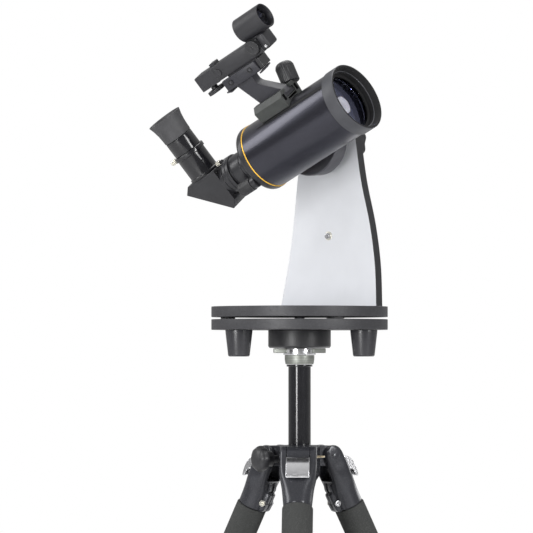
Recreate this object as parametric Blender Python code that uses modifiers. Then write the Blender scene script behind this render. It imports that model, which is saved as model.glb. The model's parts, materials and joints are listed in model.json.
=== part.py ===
"""A 60 mm Maksutov telescope on a one-arm turntable mount, screwed to a three-legged camera tripod.

Units are metres and +Z is up. The floor is z = 0, and the origin is under the middle of the object's box.
The front leg points nearly along -Y. The telescope looks forward, to the right and upward.

Frames, each an empty:
  stand         on the tripod's vertical axis, at floor level
  column        on the same axis, at the leg hinges' height; it slides up and down
  turntable     on the same axis, at the upper disc's top face; its +X is the telescope's heading
  altitude      on the altitude axis; its +X is the optical axis' direction and its +Y the altitude axis
  optics        at the front rim's centre; its +Z looks out along the optical axis
  rolled        at the front rim's centre, +X forward, +Z along the eyepiece and through the finder
  *_leg         on a leg's hinge pin; its +Z runs up the leg, its +X outward, its +Y along the pin
"""

from math import asin, cos, degrees, pi, radians, sin

import bmesh
import bpy
from mathutils import Vector

# ---------------------------------------------------------------- driving dimensions (metres, degrees)
GAP = 0.0003                  # clearance between touching pieces

# Tripod
LEG_AZIMUTHS = {"front": -92, "right": 28, "left": 148}
LEG_TILT = 26.7               # from the vertical, at the outward stop
LEG_LENGTH = 0.560            # hinge pin to the middle of the foot's ball, sections pushed in
HINGE_RADIUS = 0.036          # tripod axis to hinge pin
FOOT_BALL_RADIUS = 0.015
FOOT_BALL_HEIGHT = 0.010      # ball centre above the floor; the ball is cut flat there
COLUMN_RADIUS = 0.013
KNOB_AZIMUTH = -150           # the column's lock knob, midway between two legs
KNOB_DROP = 0.003             # its axis, below the hinge pins
CROWN_TOP = 0.0124            # above the hinge pins
COLUMN_SHOWN = 0.091          # column between the crown and the head washer
COLUMN_LENGTH = 0.300
UPPER_TUBE_RADIUS = 0.014
LOWER_TUBE_RADIUS = 0.012
CASTING_BOTTOM = -0.065       # leg casting's lower end, along the leg
GRIP_RADIUS = 0.0178
GRIP_LENGTH = 0.200
LOCK_TOP = -0.497
LOCK_BOTTOM = -0.533

# Turntable mount
PLATE_HEIGHT = 0.0080         # wing plate on the column's head
COLLAR_HEIGHT = 0.0110
HUB_RADIUS = 0.0363
HUB_HEIGHT = 0.0210
DISC_RADIUS = 0.1023
DISC_THICKNESS = 0.0122
DISC_GAP = 0.0026
FOOT_CIRCLE = 0.083           # radius that the mount's feet and glide pads stand on
BASE_FOOT_HEIGHT = 0.0310
BOARD_THICKNESS = 0.0120
BOARD_OFFSET = 0.0550         # turntable axis to the board's inner face
TUBE_OFFSET = 0.0250          # turntable axis to the optical axis, on the other side
PIVOT_HEIGHT = 0.1944         # altitude axis above the upper disc
BOARD_TOP_RADIUS = 0.0400
HEADING = -38.2
ELEVATION = 25.3

# Telescope; distances behind the front rim are negative in the optics frame
PIVOT_BEHIND_RIM = 0.1121
AXIS_BELOW_PIVOT = 0.0041
TUBE_RADIUS = 0.0397
TUBE_WALL = 0.0020
RING_RADIUS = 0.0410
RING_LENGTH = 0.0165
LENS_FRONT, LENS_REAR = 0.0165, 0.0227    # the lens' rim
TUBE_REAR = 0.1470
BACK_FACE = 0.1570            # rear cell's flat back
BACK_END = 0.1980             # rear end of the visual back
DIAGONAL_FRONT = 0.2080       # front face of the prism housing
DIAGONAL_HALF = 0.0205        # housing's half height on the front face
DIAGONAL_SIDE = 0.0425        # housing's length along the axis
DIAGONAL_THICKNESS = 0.0340
ROLL = 29.0                   # finder and eyepiece lean away from the board by this much

# Finder, in the rolled frame: heights above the optical axis
SHOE_FRONT, SHOE_REAR = 0.0680, 0.1115
SHOE_TOP = 0.0554
CLAMP_BOTTOM, CLAMP_TOP = 0.0868, 0.1006
FINDER_BOTTOM, FINDER_TOP = 0.1023, 0.1208
WINDOW_RADIUS = 0.0148

# Segments round a turned shape
FINE, MEDIUM, COARSE = 32, 20, 14

# ---------------------------------------------------------------- derived values
TILT = radians(LEG_TILT)
HINGE_HEIGHT = FOOT_BALL_HEIGHT + LEG_LENGTH * cos(TILT)
FOOT_SPREAD = HINGE_RADIUS + LEG_LENGTH * sin(TILT)
FEET_X = [FOOT_SPREAD * cos(radians(azimuth)) for azimuth in LEG_AZIMUTHS.values()]
FEET_Y = [FOOT_SPREAD * sin(radians(azimuth)) for azimuth in LEG_AZIMUTHS.values()]
STAND_X = -(max(FEET_X) + min(FEET_X)) / 2    # puts the three feet's box in the middle
STAND_Y = -(max(FEET_Y) + min(FEET_Y)) / 2
WASHER_BOTTOM = CROWN_TOP + COLUMN_SHOWN
COLLAR_BOTTOM = WASHER_BOTTOM + 0.0026
PLATE_BOTTOM = COLLAR_BOTTOM + COLLAR_HEIGHT
HUB_BOTTOM = PLATE_BOTTOM + PLATE_HEIGHT
LOWER_DISC_BOTTOM = HUB_BOTTOM + HUB_HEIGHT
LOWER_DISC_TOP = LOWER_DISC_BOTTOM + DISC_THICKNESS
UPPER_DISC_BOTTOM = LOWER_DISC_TOP + DISC_GAP
UPPER_DISC_TOP = UPPER_DISC_BOTTOM + DISC_THICKNESS


# ---------------------------------------------------------------- scene helpers
def clear_scene():
    for obj in list(bpy.data.objects):
        bpy.data.objects.remove(obj, do_unlink=True)


def new_collection(name):
    collection = bpy.data.collections.new(name)
    bpy.context.scene.collection.children.link(collection)
    return collection


def make_material(name, colour, roughness, metallic=0.0):
    material = bpy.data.materials.new(name)
    material.use_nodes = True
    shader = material.node_tree.nodes["Principled BSDF"]
    shader.inputs["Base Color"].default_value = (*colour, 1.0)
    shader.inputs["Roughness"].default_value = roughness
    shader.inputs["Metallic"].default_value = metallic
    return material


def frame(name, parent=None, location=(0, 0, 0), turn=(0, 0, 0)):
    """An empty that carries a frame; turn is in degrees."""
    empty = bpy.data.objects.new(name, None)
    empty.empty_display_size = 0.02
    PARTS.objects.link(empty)
    empty.parent = parent
    empty.location = location
    empty.rotation_euler = [radians(angle) for angle in turn]
    return empty


def place(name, data, parent, material, location=(0, 0, 0), turn=(0, 0, 0)):
    """Adds a part; with no material it is a cutter or a joining shape."""
    obj = bpy.data.objects.new(name, data)
    (PARTS if material else CUTTERS).objects.link(obj)
    obj.parent = parent
    obj.location = location
    obj.rotation_euler = [radians(angle) for angle in turn]
    if material:
        data.materials.append(material)
    else:
        obj.hide_render = True
        obj.display_type = "WIRE"
    return obj


def turned(name, profile, parent, material, steps=MEDIUM, **where):
    """Turns (radius, height) points about Z; the points run down the outer side."""
    mesh = bpy.data.meshes.new(name)
    count = len(profile)
    edges = [(i, i + 1) for i in range(count - 1)]
    if min(radius for radius, _ in profile) > 0:
        edges.append((count - 1, 0))
    mesh.from_pydata([(radius, 0, height) for radius, height in profile], edges, [])
    obj = place(name, mesh, parent, material, **where)
    screw = obj.modifiers.new("turn", "SCREW")
    screw.steps = steps
    screw.render_steps = steps
    screw.use_merge_vertices = True
    screw.merge_threshold = 0.00001
    screw.use_smooth_shade = False
    return obj


def rod(name, radius, low, high, parent, material, steps=COARSE, **where):
    return turned(name, [(0, high), (radius, high), (radius, low), (0, low)], parent, material, steps, **where)


def pipe(name, outer, inner, low, high, parent, material, steps=MEDIUM, **where):
    profile = [(outer, high), (outer, low), (inner, low), (inner, high)]
    return turned(name, profile, parent, material, steps, **where)


def block(name, size, parent, material, bevel=0.0, **where):
    """A box about its own middle, with rounded edges if bevel is given."""
    mesh = bpy.data.meshes.new(name)
    shape = bmesh.new()
    bmesh.ops.create_cube(shape, size=1.0)
    bmesh.ops.scale(shape, vec=Vector(size), verts=shape.verts)
    shape.to_mesh(mesh)
    shape.free()
    obj = place(name, mesh, parent, material, **where)
    if bevel:
        add_bevel(obj, bevel)
    return obj


def add_bevel(obj, width, segments=2):
    bevel = obj.modifiers.new("edges", "BEVEL")
    bevel.width = width
    bevel.segments = segments
    bevel.limit_method = "ANGLE"
    bevel.angle_limit = radians(40)


def outline_curve(name, thickness):
    curve = bpy.data.curves.new(name, "CURVE")
    curve.dimensions = "2D"
    curve.fill_mode = "BOTH"
    curve.extrude = thickness / 2
    return curve


def slab(name, points, thickness, parent, material, **where):
    """A flat outline in local XY, extruded equally to both sides, as a welded mesh."""
    curve = outline_curve(name, thickness)
    spline = curve.splines.new("POLY")
    spline.points.add(len(points) - 1)
    for point, (x, y) in zip(spline.points, points):
        point.co = (x, y, 0, 1)
    spline.use_cyclic_u = True
    return place(name, welded_mesh(name, curve), parent, material, **where)


def welded_mesh(name, curve):
    """The solid mesh of a curve, with its loose caps welded on."""
    guide = bpy.data.objects.new(name + "_guide", curve)
    bpy.context.scene.collection.objects.link(guide)
    bpy.context.view_layer.update()
    evaluated = guide.evaluated_get(bpy.context.evaluated_depsgraph_get())
    mesh = bpy.data.meshes.new_from_object(evaluated)
    bpy.data.objects.remove(guide)
    shape = bmesh.new()
    shape.from_mesh(mesh)
    bmesh.ops.remove_doubles(shape, verts=shape.verts, dist=0.00001)
    bmesh.ops.recalc_face_normals(shape, faces=shape.faces)
    shape.to_mesh(mesh)
    shape.free()
    mesh.name = name
    mesh.materials.clear()
    return mesh


def combine(obj, other, operation):
    modifier = obj.modifiers.new(operation.lower(), "BOOLEAN")
    modifier.operation = operation
    modifier.solver = "EXACT"
    modifier.object = other


def join(obj, *others):
    for other in others:
        combine(obj, other, "UNION")


def cut(obj, *others):
    for other in others:
        combine(obj, other, "DIFFERENCE")


def arc(centre, radius, start, end, count):
    """Points on a circle from the start angle to the end angle, in degrees."""
    angles = [radians(start + (end - start) * i / (count - 1)) for i in range(count)]
    return [(centre[0] + radius * cos(a), centre[1] + radius * sin(a)) for a in angles]


def lobed(radius, depth, lobes, count):
    """A round outline with shallow lobes."""
    angles = [2 * pi * i / count for i in range(count)]
    radii = [radius + depth * cos(lobes * a) for a in angles]
    return [(r * cos(a), r * sin(a)) for r, a in zip(radii, angles)]


# ---------------------------------------------------------------- tripod
def build_crown(stand):
    """The body that the column slides in, with a lug between each leg's fork cheeks."""
    barrel = [
        (0.0225, CROWN_TOP),
        (0.0240, CROWN_TOP - 0.0015),
        (0.0240, -0.0215),
        (0.0185, -0.0300),
        (COLUMN_RADIUS + GAP, -0.0300),
        (COLUMN_RADIUS + GAP, CROWN_TOP),
    ]
    crown = turned("tripod_crown", barrel, stand, DARK_METAL, MEDIUM, location=(0, 0, HINGE_HEIGHT))
    solid = [(0, 0.02), (COLUMN_RADIUS + GAP, 0.02), (COLUMN_RADIUS + GAP, -0.04), (0, -0.04)]
    bore = turned("crown_bore", solid, stand, None, MEDIUM, location=(0, 0, HINGE_HEIGHT))
    lug_tip = 0.0118
    for name, azimuth in LEG_AZIMUTHS.items():
        arm = frame(name + "_lug", stand, (0, 0, HINGE_HEIGHT), (0, 0, azimuth))
        side_view = [(0.016, CROWN_TOP - 0.0006), (HINGE_RADIUS, lug_tip)]
        side_view += arc((HINGE_RADIUS, 0), lug_tip, 78, -90, 9)
        side_view += [(0.016, -lug_tip)]
        lug = slab(name + "_lug_shape", side_view, 0.0268, arm, None, turn=(90, 0, 0))
        hole = rod(name + "_lug_hole", 0.0029, -0.03, 0.03, arm, None, location=(HINGE_RADIUS, 0, 0), turn=(90, 0, 0))
        join(crown, lug)
        cut(crown, hole)
    socket = rod("lock_socket", 0.0045, 0.010, 0.040, stand, None, location=(0, 0, HINGE_HEIGHT - KNOB_DROP),
                 turn=(90, 0, KNOB_AZIMUTH + 90))
    cut(crown, bore, socket)


def build_column_knob(stand):
    """Lobed clamp knob with the screw that presses on the column."""
    axis = frame("column_knob_axis", stand, (0, 0, HINGE_HEIGHT - KNOB_DROP), (90, 0, KNOB_AZIMUTH + 90))
    knob = slab("column_lock_knob", lobed(0.0150, 0.0009, 8, 32), 0.0115, axis, BLACK_PLASTIC, location=(0, 0, 0.0527))
    shaft = rod("knob_shaft", 0.0042, 0.0165, 0.0500, axis, None)
    boss = rod("knob_boss", 0.0090, 0.0380, 0.0480, axis, None)
    join(knob, boss, shaft)


def build_column(column):
    """Sliding centre tube, the black washer on its top, and its cap below."""
    top = WASHER_BOTTOM + 0.0026
    low = WASHER_BOTTOM - COLUMN_LENGTH
    inner = COLUMN_RADIUS - 0.0015
    profile = [
        (0.0150, top - GAP),
        (0.0150, WASHER_BOTTOM),
        (COLUMN_RADIUS, WASHER_BOTTOM),
        (COLUMN_RADIUS, low),
        (inner, low),
        (inner, top - GAP),
    ]
    turned("column_tube", profile, column, GLOSS_BLACK, MEDIUM)


def build_head(column):
    """Grey head collar and the chrome wing plate with the camera screw."""
    collar = [
        (0.0172, PLATE_BOTTOM - GAP),
        (0.0172, PLATE_BOTTOM - 0.0050),
        (0.0163, COLLAR_BOTTOM + 0.0006),
        (0.0157, COLLAR_BOTTOM),
        (0.0035, COLLAR_BOTTOM),
        (0.0035, PLATE_BOTTOM - GAP),
    ]
    turned("head_collar", collar, column, GREY_METAL, MEDIUM)
    screw_top = HUB_BOTTOM + 0.0080
    plate = [
        (0, screw_top),
        (0.0031, screw_top),
        (0.0031, HUB_BOTTOM - GAP),
        (0.0187, HUB_BOTTOM - GAP),
        (0.0187, PLATE_BOTTOM),
        (0, PLATE_BOTTOM),
    ]
    hub = turned("head_plate", plate, column, CHROME, MEDIUM)
    wing_height = 0.0055
    wings = block("wings", (0.0606, 0.0240, wing_height), column, None, 0.0012,
                  location=(0, 0, HUB_BOTTOM - GAP - 0.0001 - wing_height / 2))
    join(hub, wings)


def leg_section(z, half_x, half_y, power, count=20):
    """Ring of points on a superellipse: power 2 is an ellipse, more is squarer."""
    ring = []
    for i in range(count):
        angle = 2 * pi * (i + 0.5) / count
        c, s = cos(angle), sin(angle)
        scale = (abs(c) ** power + abs(s) ** power) ** (-1 / power)
        ring.append((half_x * c * scale, half_y * s * scale, z))
    return ring


def loft(name, rings, parent, material, **where):
    """A closed skin through rings of equal count, first ring lowest."""
    shape = bmesh.new()
    layers = [[shape.verts.new(point) for point in ring] for ring in rings]
    count = len(rings[0])
    for low, high in zip(layers, layers[1:]):
        for i in range(count):
            j = (i + 1) % count
            shape.faces.new((low[i], low[j], high[j], high[i]))
    shape.faces.new(list(reversed(layers[0])))
    shape.faces.new(layers[-1])
    mesh = bpy.data.meshes.new(name)
    shape.to_mesh(mesh)
    shape.free()
    return place(name, mesh, parent, material, **where)


CASTING_SECTIONS = (          # along the leg, half depth, half width, squareness
    (-0.0650, 0.0158, 0.0160, 2.0),
    (-0.0630, 0.0164, 0.0165, 2.0),
    (-0.0400, 0.0158, 0.0188, 2.4),
    (-0.0240, 0.0138, 0.0214, 4.0),
    (-0.0080, 0.0126, 0.0214, 6.0),
    (0.0000, 0.0124, 0.0214, 6.0),
    (0.0060, 0.0108, 0.0214, 6.0),
    (0.0100, 0.0075, 0.0212, 6.0),
    (0.0120, 0.0034, 0.0209, 6.0),
)


def build_casting(name, leg):
    """Forked casting: cheeks round the hinge pin above, tube socket below."""
    rings = [leg_section(*section) for section in CASTING_SECTIONS]
    casting = loft(name + "_leg_casting", rings, leg, DARK_METAL)
    slot = block(name + "_slot", (0.060, 0.0275, 0.0700), leg, None, location=(0, 0, -0.0270 + 0.0350))
    socket = rod(name + "_socket", UPPER_TUBE_RADIUS + GAP, -0.070, -0.0330, leg, None, MEDIUM)
    hole = rod(name + "_cheek_hole", 0.0029, -0.03, 0.03, leg, None, turn=(90, 0, 0))
    ears = block(name + "_clamp_ears", (0.0120, 0.0200, 0.0315), leg, None, 0.0030, location=(-0.0140, 0, -0.0490))
    slit = block(name + "_clamp_slit", (0.0160, 0.0016, 0.0360), leg, None, location=(-0.0160, 0, -0.0500))
    cut(casting, slot)
    join(casting, ears)
    cut(casting, slit, socket, hole)


PIN_TAIL = {"front": 1, "right": 1, "left": -1}


def build_hinge_pin(name, leg, stand):
    """Pin through cheeks and lug, with one long threaded end."""
    side = PIN_TAIL[name]
    azimuth = LEG_AZIMUTHS[name]
    axis = frame(name + "_pin_axis", stand, leg.location, (0, 0, azimuth))
    rod(name + "_leg_hinge_pin", 0.0026, -0.0225, 0.0305, axis, BRASS, 16, turn=(-90 * side, 0, 0))


LATCH_PIVOT = (0.0070, -0.0175)
LATCH_SIDE_VIEW = (           # outward, along the leg
    (0.0126, -0.0095),
    (0.0142, -0.0072),
    (0.0168, -0.0085),
    (0.0200, -0.0125),
    (0.0221, -0.0190),
    (0.0224, -0.0270),
    (0.0212, -0.0340),
    (0.0198, -0.0360),
    (0.0184, -0.0345),
    (0.0176, -0.0300),
    (0.0168, -0.0250),
    (0.0120, -0.0222),
    (0.0058, -0.0205),
    (0.0048, -0.0178),
    (0.0058, -0.0152),
    (0.0115, -0.0148),
)


def build_latch(name, leg):
    """Sprung angle latch in the fork; pulling its lip out frees the leg."""
    pivot = frame(name + "_latch_axis", leg, (LATCH_PIVOT[0], 0, LATCH_PIVOT[1]))
    points = [(x - LATCH_PIVOT[0], z - LATCH_PIVOT[1]) for x, z in LATCH_SIDE_VIEW]
    latch = slab(name + "_leg_latch", points, 0.0268, pivot, CHROME, turn=(90, 0, 0))
    add_bevel(latch, 0.0006, 1)


def build_leg_tubes(name, leg):
    """Foam grip, upper tube, twist lock, lower tube and rubber foot."""
    grip_top = CASTING_BOTTOM - GAP
    pipe(name + "_leg_grip", GRIP_RADIUS, UPPER_TUBE_RADIUS + GAP, grip_top - GRIP_LENGTH, grip_top, leg, FOAM)
    lip = LOWER_TUBE_RADIUS + GAP
    upper_low = LOCK_BOTTOM + 0.010
    pipe(name + "_leg_upper_tube", UPPER_TUBE_RADIUS, lip, upper_low, -0.0335, leg, GLOSS_BLACK)
    lock = [
        (0.0165, LOCK_TOP),
        (0.0175, LOCK_TOP - 0.0020),
        (0.0175, LOCK_BOTTOM + 0.0040),
        (0.0155, LOCK_BOTTOM),
        (lip, LOCK_BOTTOM),
        (lip, upper_low - GAP),
        (UPPER_TUBE_RADIUS + GAP, upper_low - GAP),
        (UPPER_TUBE_RADIUS + GAP, LOCK_TOP),
    ]
    turned(name + "_leg_twist_lock", lock, leg, BLACK_PLASTIC)
    ball = -LEG_LENGTH
    socket_floor = ball + 0.006
    pipe(name + "_leg_lower_tube", LOWER_TUBE_RADIUS, LOWER_TUBE_RADIUS - 0.0012, socket_floor + GAP, -0.075, leg,
         GLOSS_BLACK)
    bore = LOWER_TUBE_RADIUS + GAP
    profile = [(0, socket_floor), (bore, socket_floor), (bore, LOCK_BOTTOM - 0.0006), (0.0148, LOCK_BOTTOM - 0.0006)]
    profile += arc((0, ball), FOOT_BALL_RADIUS, 20, -90, 6)
    foot = turned(name + "_leg_foot", profile, leg, RUBBER)
    return foot


def build_leg(name, stand, floor):
    azimuth = radians(LEG_AZIMUTHS[name])
    spot = (HINGE_RADIUS * cos(azimuth), HINGE_RADIUS * sin(azimuth), HINGE_HEIGHT)
    leg = frame(name + "_leg", stand, spot, (0, -LEG_TILT, LEG_AZIMUTHS[name]))
    build_casting(name, leg)
    build_hinge_pin(name, leg, stand)
    build_latch(name, leg)
    cut(build_leg_tubes(name, leg), floor)


# ---------------------------------------------------------------- turntable mount
def build_base(column):
    """The part of the mount that stays still: hub, lower disc, feet and glide pads."""
    hub = [
        (HUB_RADIUS, LOWER_DISC_BOTTOM - GAP),
        (HUB_RADIUS, HUB_BOTTOM + 0.0020),
        (HUB_RADIUS - 0.0015, HUB_BOTTOM),
        (0.0035, HUB_BOTTOM),
        (0.0035, HUB_BOTTOM + 0.0100),
        (0.0063, HUB_BOTTOM + 0.0100),
        (0.0063, LOWER_DISC_BOTTOM - GAP),
    ]
    turned("tripod_hub", hub, column, BLACK_PLASTIC, FINE)
    pipe("base_disc_lower", DISC_RADIUS, 0.0063, LOWER_DISC_BOTTOM, LOWER_DISC_TOP, column, BOARD_BLACK, FINE)
    foot = [
        (0, LOWER_DISC_BOTTOM - GAP),
        (0.0157, LOWER_DISC_BOTTOM - GAP),
        (0.0124, LOWER_DISC_BOTTOM - BASE_FOOT_HEIGHT + 0.0012),
        (0.0112, LOWER_DISC_BOTTOM - BASE_FOOT_HEIGHT),
        (0, LOWER_DISC_BOTTOM - BASE_FOOT_HEIGHT),
    ]
    for number, azimuth in enumerate((-147, -27, 93), 1):
        spot = on_circle(FOOT_CIRCLE, azimuth)
        turned("base_foot_%d" % number, foot, column, RUBBER, COARSE, location=spot)
    for number, azimuth in enumerate((181, -59, 61), 1):
        spot = on_circle(FOOT_CIRCLE, azimuth)
        rod("glide_pad_%d" % number, 0.0085, LOWER_DISC_TOP + GAP, UPPER_DISC_BOTTOM - GAP, column, PAD_PLASTIC,
            location=spot)


def on_circle(radius, azimuth):
    return (radius * cos(radians(azimuth)), radius * sin(radians(azimuth)), 0)


def build_turntable(turntable):
    """Upper disc, its centre bolt and the side board, with the disc's top face at z = 0."""
    sink = 0.0050
    head = 0.0110
    disc = [
        (DISC_RADIUS, 0),
        (DISC_RADIUS, -DISC_THICKNESS),
        (0.0063, -DISC_THICKNESS),
        (0.0063, -sink),
        (head + GAP, -sink),
        (head + GAP, 0),
    ]
    turned("base_disc_upper", disc, turntable, BOARD_BLACK, FINE)
    depth = UPPER_DISC_TOP - HUB_BOTTOM - 0.0105
    bolt = [(0, -0.0008), (head, -0.0008), (head, GAP - sink), (0.0060, GAP - sink), (0.0060, -depth), (0, -depth)]
    turned("azimuth_bolt", bolt, turntable, GREY_METAL, COARSE)
    build_board(turntable)


BOARD_EDGE = (                # sideways, height above the upper disc: right edge up to the round top, then left edge
    (0.0700, 0.0000),
    (0.0680, 0.0480),
    (0.0607, 0.0950),
    (0.0480, 0.1460),
    (0.0400, 0.1930),
    (0.0000, 0.2344),
    (-0.0400, 0.1930),
    (-0.0462, 0.1500),
    (-0.0512, 0.1060),
    (-0.0578, 0.0620),
    (-0.0712, 0.0000),
)


def build_board(turntable):
    """Laminated side board: one smooth outline with square lower corners and a bore for the altitude stud."""
    curve = outline_curve("side_board", BOARD_THICKNESS)
    spline = curve.splines.new("BEZIER")
    spline.bezier_points.add(len(BOARD_EDGE) - 1)
    for point, (x, z) in zip(spline.bezier_points, BOARD_EDGE):
        point.co = (x, z, 0)
        point.handle_left_type = "AUTO"
        point.handle_right_type = "AUTO"
    for corner in (spline.bezier_points[0], spline.bezier_points[-1]):
        corner.handle_left_type = "VECTOR"
        corner.handle_right_type = "VECTOR"
    top = BOARD_EDGE.index((0.0000, 0.2344))
    reach = 0.5523 * BOARD_TOP_RADIUS
    for index, left, right in (
        (top - 1, (0.0400, 0.1930 - 0.014), (0.0400, 0.1930 + reach)),
        (top, (reach, 0.2344), (-reach, 0.2344)),
        (top + 1, (-0.0400, 0.1930 + reach), (-0.0400, 0.1930 - 0.014)),
    ):
        point = spline.bezier_points[index]
        point.handle_left_type = "FREE"
        point.handle_right_type = "FREE"
        point.handle_left = (*left, 0)
        point.handle_right = (*right, 0)
    spline.use_cyclic_u = True
    spline.resolution_u = 5
    board = place("side_board", welded_mesh("side_board", curve), turntable, LAMINATE,
                  location=(0, BOARD_OFFSET + BOARD_THICKNESS / 2, GAP), turn=(90, 0, 0))
    bore = rod("board_bore", 0.0050, -0.02, 0.02, turntable, None,
               location=(0, BOARD_OFFSET + BOARD_THICKNESS / 2, PIVOT_HEIGHT), turn=(90, 0, 0))
    cut(board, bore)


def build_altitude_bearing(altitude):
    """Hub disc with a saddle on the tube and a stud through the board, and the tension knob on the stud."""
    face = TUBE_OFFSET + BOARD_OFFSET
    rear = face + BOARD_THICKNESS
    stud_end = rear + 0.0300
    profile = [
        (0, stud_end),
        (0.0047, stud_end),
        (0.0047, face - GAP),
        (0.0240, face - GAP),
        (0.0240, 0.0640),
        (0.0408, 0.0640),
        (0.0420, 0.0425),
        (0, 0.0425),
    ]
    hub = turned("altitude_hub", profile, altitude, GREY_METAL, FINE, turn=(-90, 0, 0))
    saddle = block("saddle", (0.060, 0.0130, 0.0380), altitude, None, location=(0, 0.0370, -AXIS_BELOW_PIVOT))
    around_tube = rod("around_tube", TUBE_RADIUS + GAP, -0.06, 0.06, altitude, None, FINE,
                      location=(0, 0, -AXIS_BELOW_PIVOT), turn=(0, 90, 0))
    join(hub, saddle)
    cut(hub, around_tube)

    knob_axis = frame("altitude_knob_axis", altitude, (0, rear, 0), (-90, 0, 0))
    grip = slab("altitude_knob", lobed(0.0185, 0.0015, 6, 36), 0.0240, knob_axis, BLACK_PLASTIC,
                location=(0, 0, 0.0260))
    boss = rod("altitude_knob_boss", 0.0120, GAP, 0.0200, knob_axis, None)
    bore = rod("altitude_knob_bore", 0.0050, -0.01, 0.0303, knob_axis, None)
    join(grip, boss)
    cut(grip, bore)


# ---------------------------------------------------------------- telescope
def build_front(optics):
    """Front ring with its stepped mouth, and the meniscus lens that sits in it."""
    inside_tube = TUBE_RADIUS - TUBE_WALL - GAP
    ring = [
        (0.0404, 0),
        (RING_RADIUS, -0.0008),
        (RING_RADIUS, -RING_LENGTH),
        (TUBE_RADIUS + GAP, -RING_LENGTH),
        (TUBE_RADIUS + GAP, -0.0077),
        (inside_tube, -0.0077),
        (inside_tube, -0.0250),
        (0.0315, -0.0250),
        (0.0315, -0.0230),
        (0.0333, -0.0230),
        (0.0333, -0.0142),
        (0.0352, -0.0138),
        (0.0356, -0.0078),
        (0.0364, -0.0072),
        (0.0385, 0),
    ]
    turned("front_ring", ring, optics, DARK_METAL, FINE)
    lens_radius = 0.0330
    sag = 0.0022
    rings = [lens_radius * i / 3 for i in range(4)]
    front = [(r, -LENS_FRONT - sag * (1 - (r / lens_radius) ** 2)) for r in rings]
    rear = [(r, -LENS_REAR - sag * (1 - (r / lens_radius) ** 2)) for r in reversed(rings)]
    turned("corrector_lens", front + rear, optics, GLASS, FINE)


def build_tube(optics):
    """Main tube and the primary mirror, which slides on the rear cell's baffle tube."""
    pipe("main_tube", TUBE_RADIUS, TUBE_RADIUS - TUBE_WALL, -TUBE_REAR, -0.0080, optics, TUBE_PAINT, FINE)
    mirror_radius = 0.0340
    hole = 0.0118
    rings = [hole + (mirror_radius - hole) * i / 3 for i in range(4)]
    face = [(r, -0.1260 - 0.0030 * (1 - (r / mirror_radius) ** 2)) for r in rings]
    profile = face + [(mirror_radius, -0.1350), (hole, -0.1350)]
    turned("primary_mirror", profile, optics, MIRROR, FINE)


def build_rear(optics):
    """Rear cell with its baffle tube, and the visual back with its clamp ring."""
    inside_tube = TUBE_RADIUS - TUBE_WALL - GAP
    cell = [
        (inside_tube, -0.1420),
        (inside_tube, -TUBE_REAR - 0.0008),
        (0.0404, -TUBE_REAR - 0.0008),
        (0.0404, -0.1540),
        (0.0396, -0.1562),
        (0.0384, -BACK_FACE),
        (0.0095, -BACK_FACE),
        (0.0095, -0.0750),
        (0.0110, -0.0750),
        (0.0110, -0.1500),
        (0.0340, -0.1500),
        (0.0340, -0.1420),
    ]
    turned("rear_cell", cell, optics, BLACK_METAL, FINE)
    back = [
        (0.0210, -BACK_FACE - GAP),
        (0.0210, -0.1860),
        (0.0200, -0.1860),
        (0.0200, -0.1890),
        (0.0230, -0.1890),
        (0.0230, -BACK_END),
        (0.0160, -BACK_END),
        (0.0160, -BACK_FACE - GAP),
    ]
    turned("visual_back", back, optics, BLACK_METAL, MEDIUM)


FOCUS_KNOB_AT = (-0.0215, -0.0292)    # beside and below the optical axis, in the altitude frame's Y and Z


def build_focus_knob(altitude):
    """Ribbed focus knob and its shaft, parallel to the optical axis."""
    spot = (PIVOT_BEHIND_RIM - BACK_FACE, FOCUS_KNOB_AT[0], FOCUS_KNOB_AT[1] - AXIS_BELOW_PIVOT)
    axis = frame("focus_axis", altitude, spot, (0, -90, 0))
    knob = slab("focus_knob", lobed(0.0083, 0.0003, 14, 28), 0.0180, axis, BLACK_PLASTIC, location=(0, 0, 0.0150))
    shaft = rod("focus_shaft", 0.0036, GAP, 0.0120, axis, None)
    join(knob, shaft)


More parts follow.
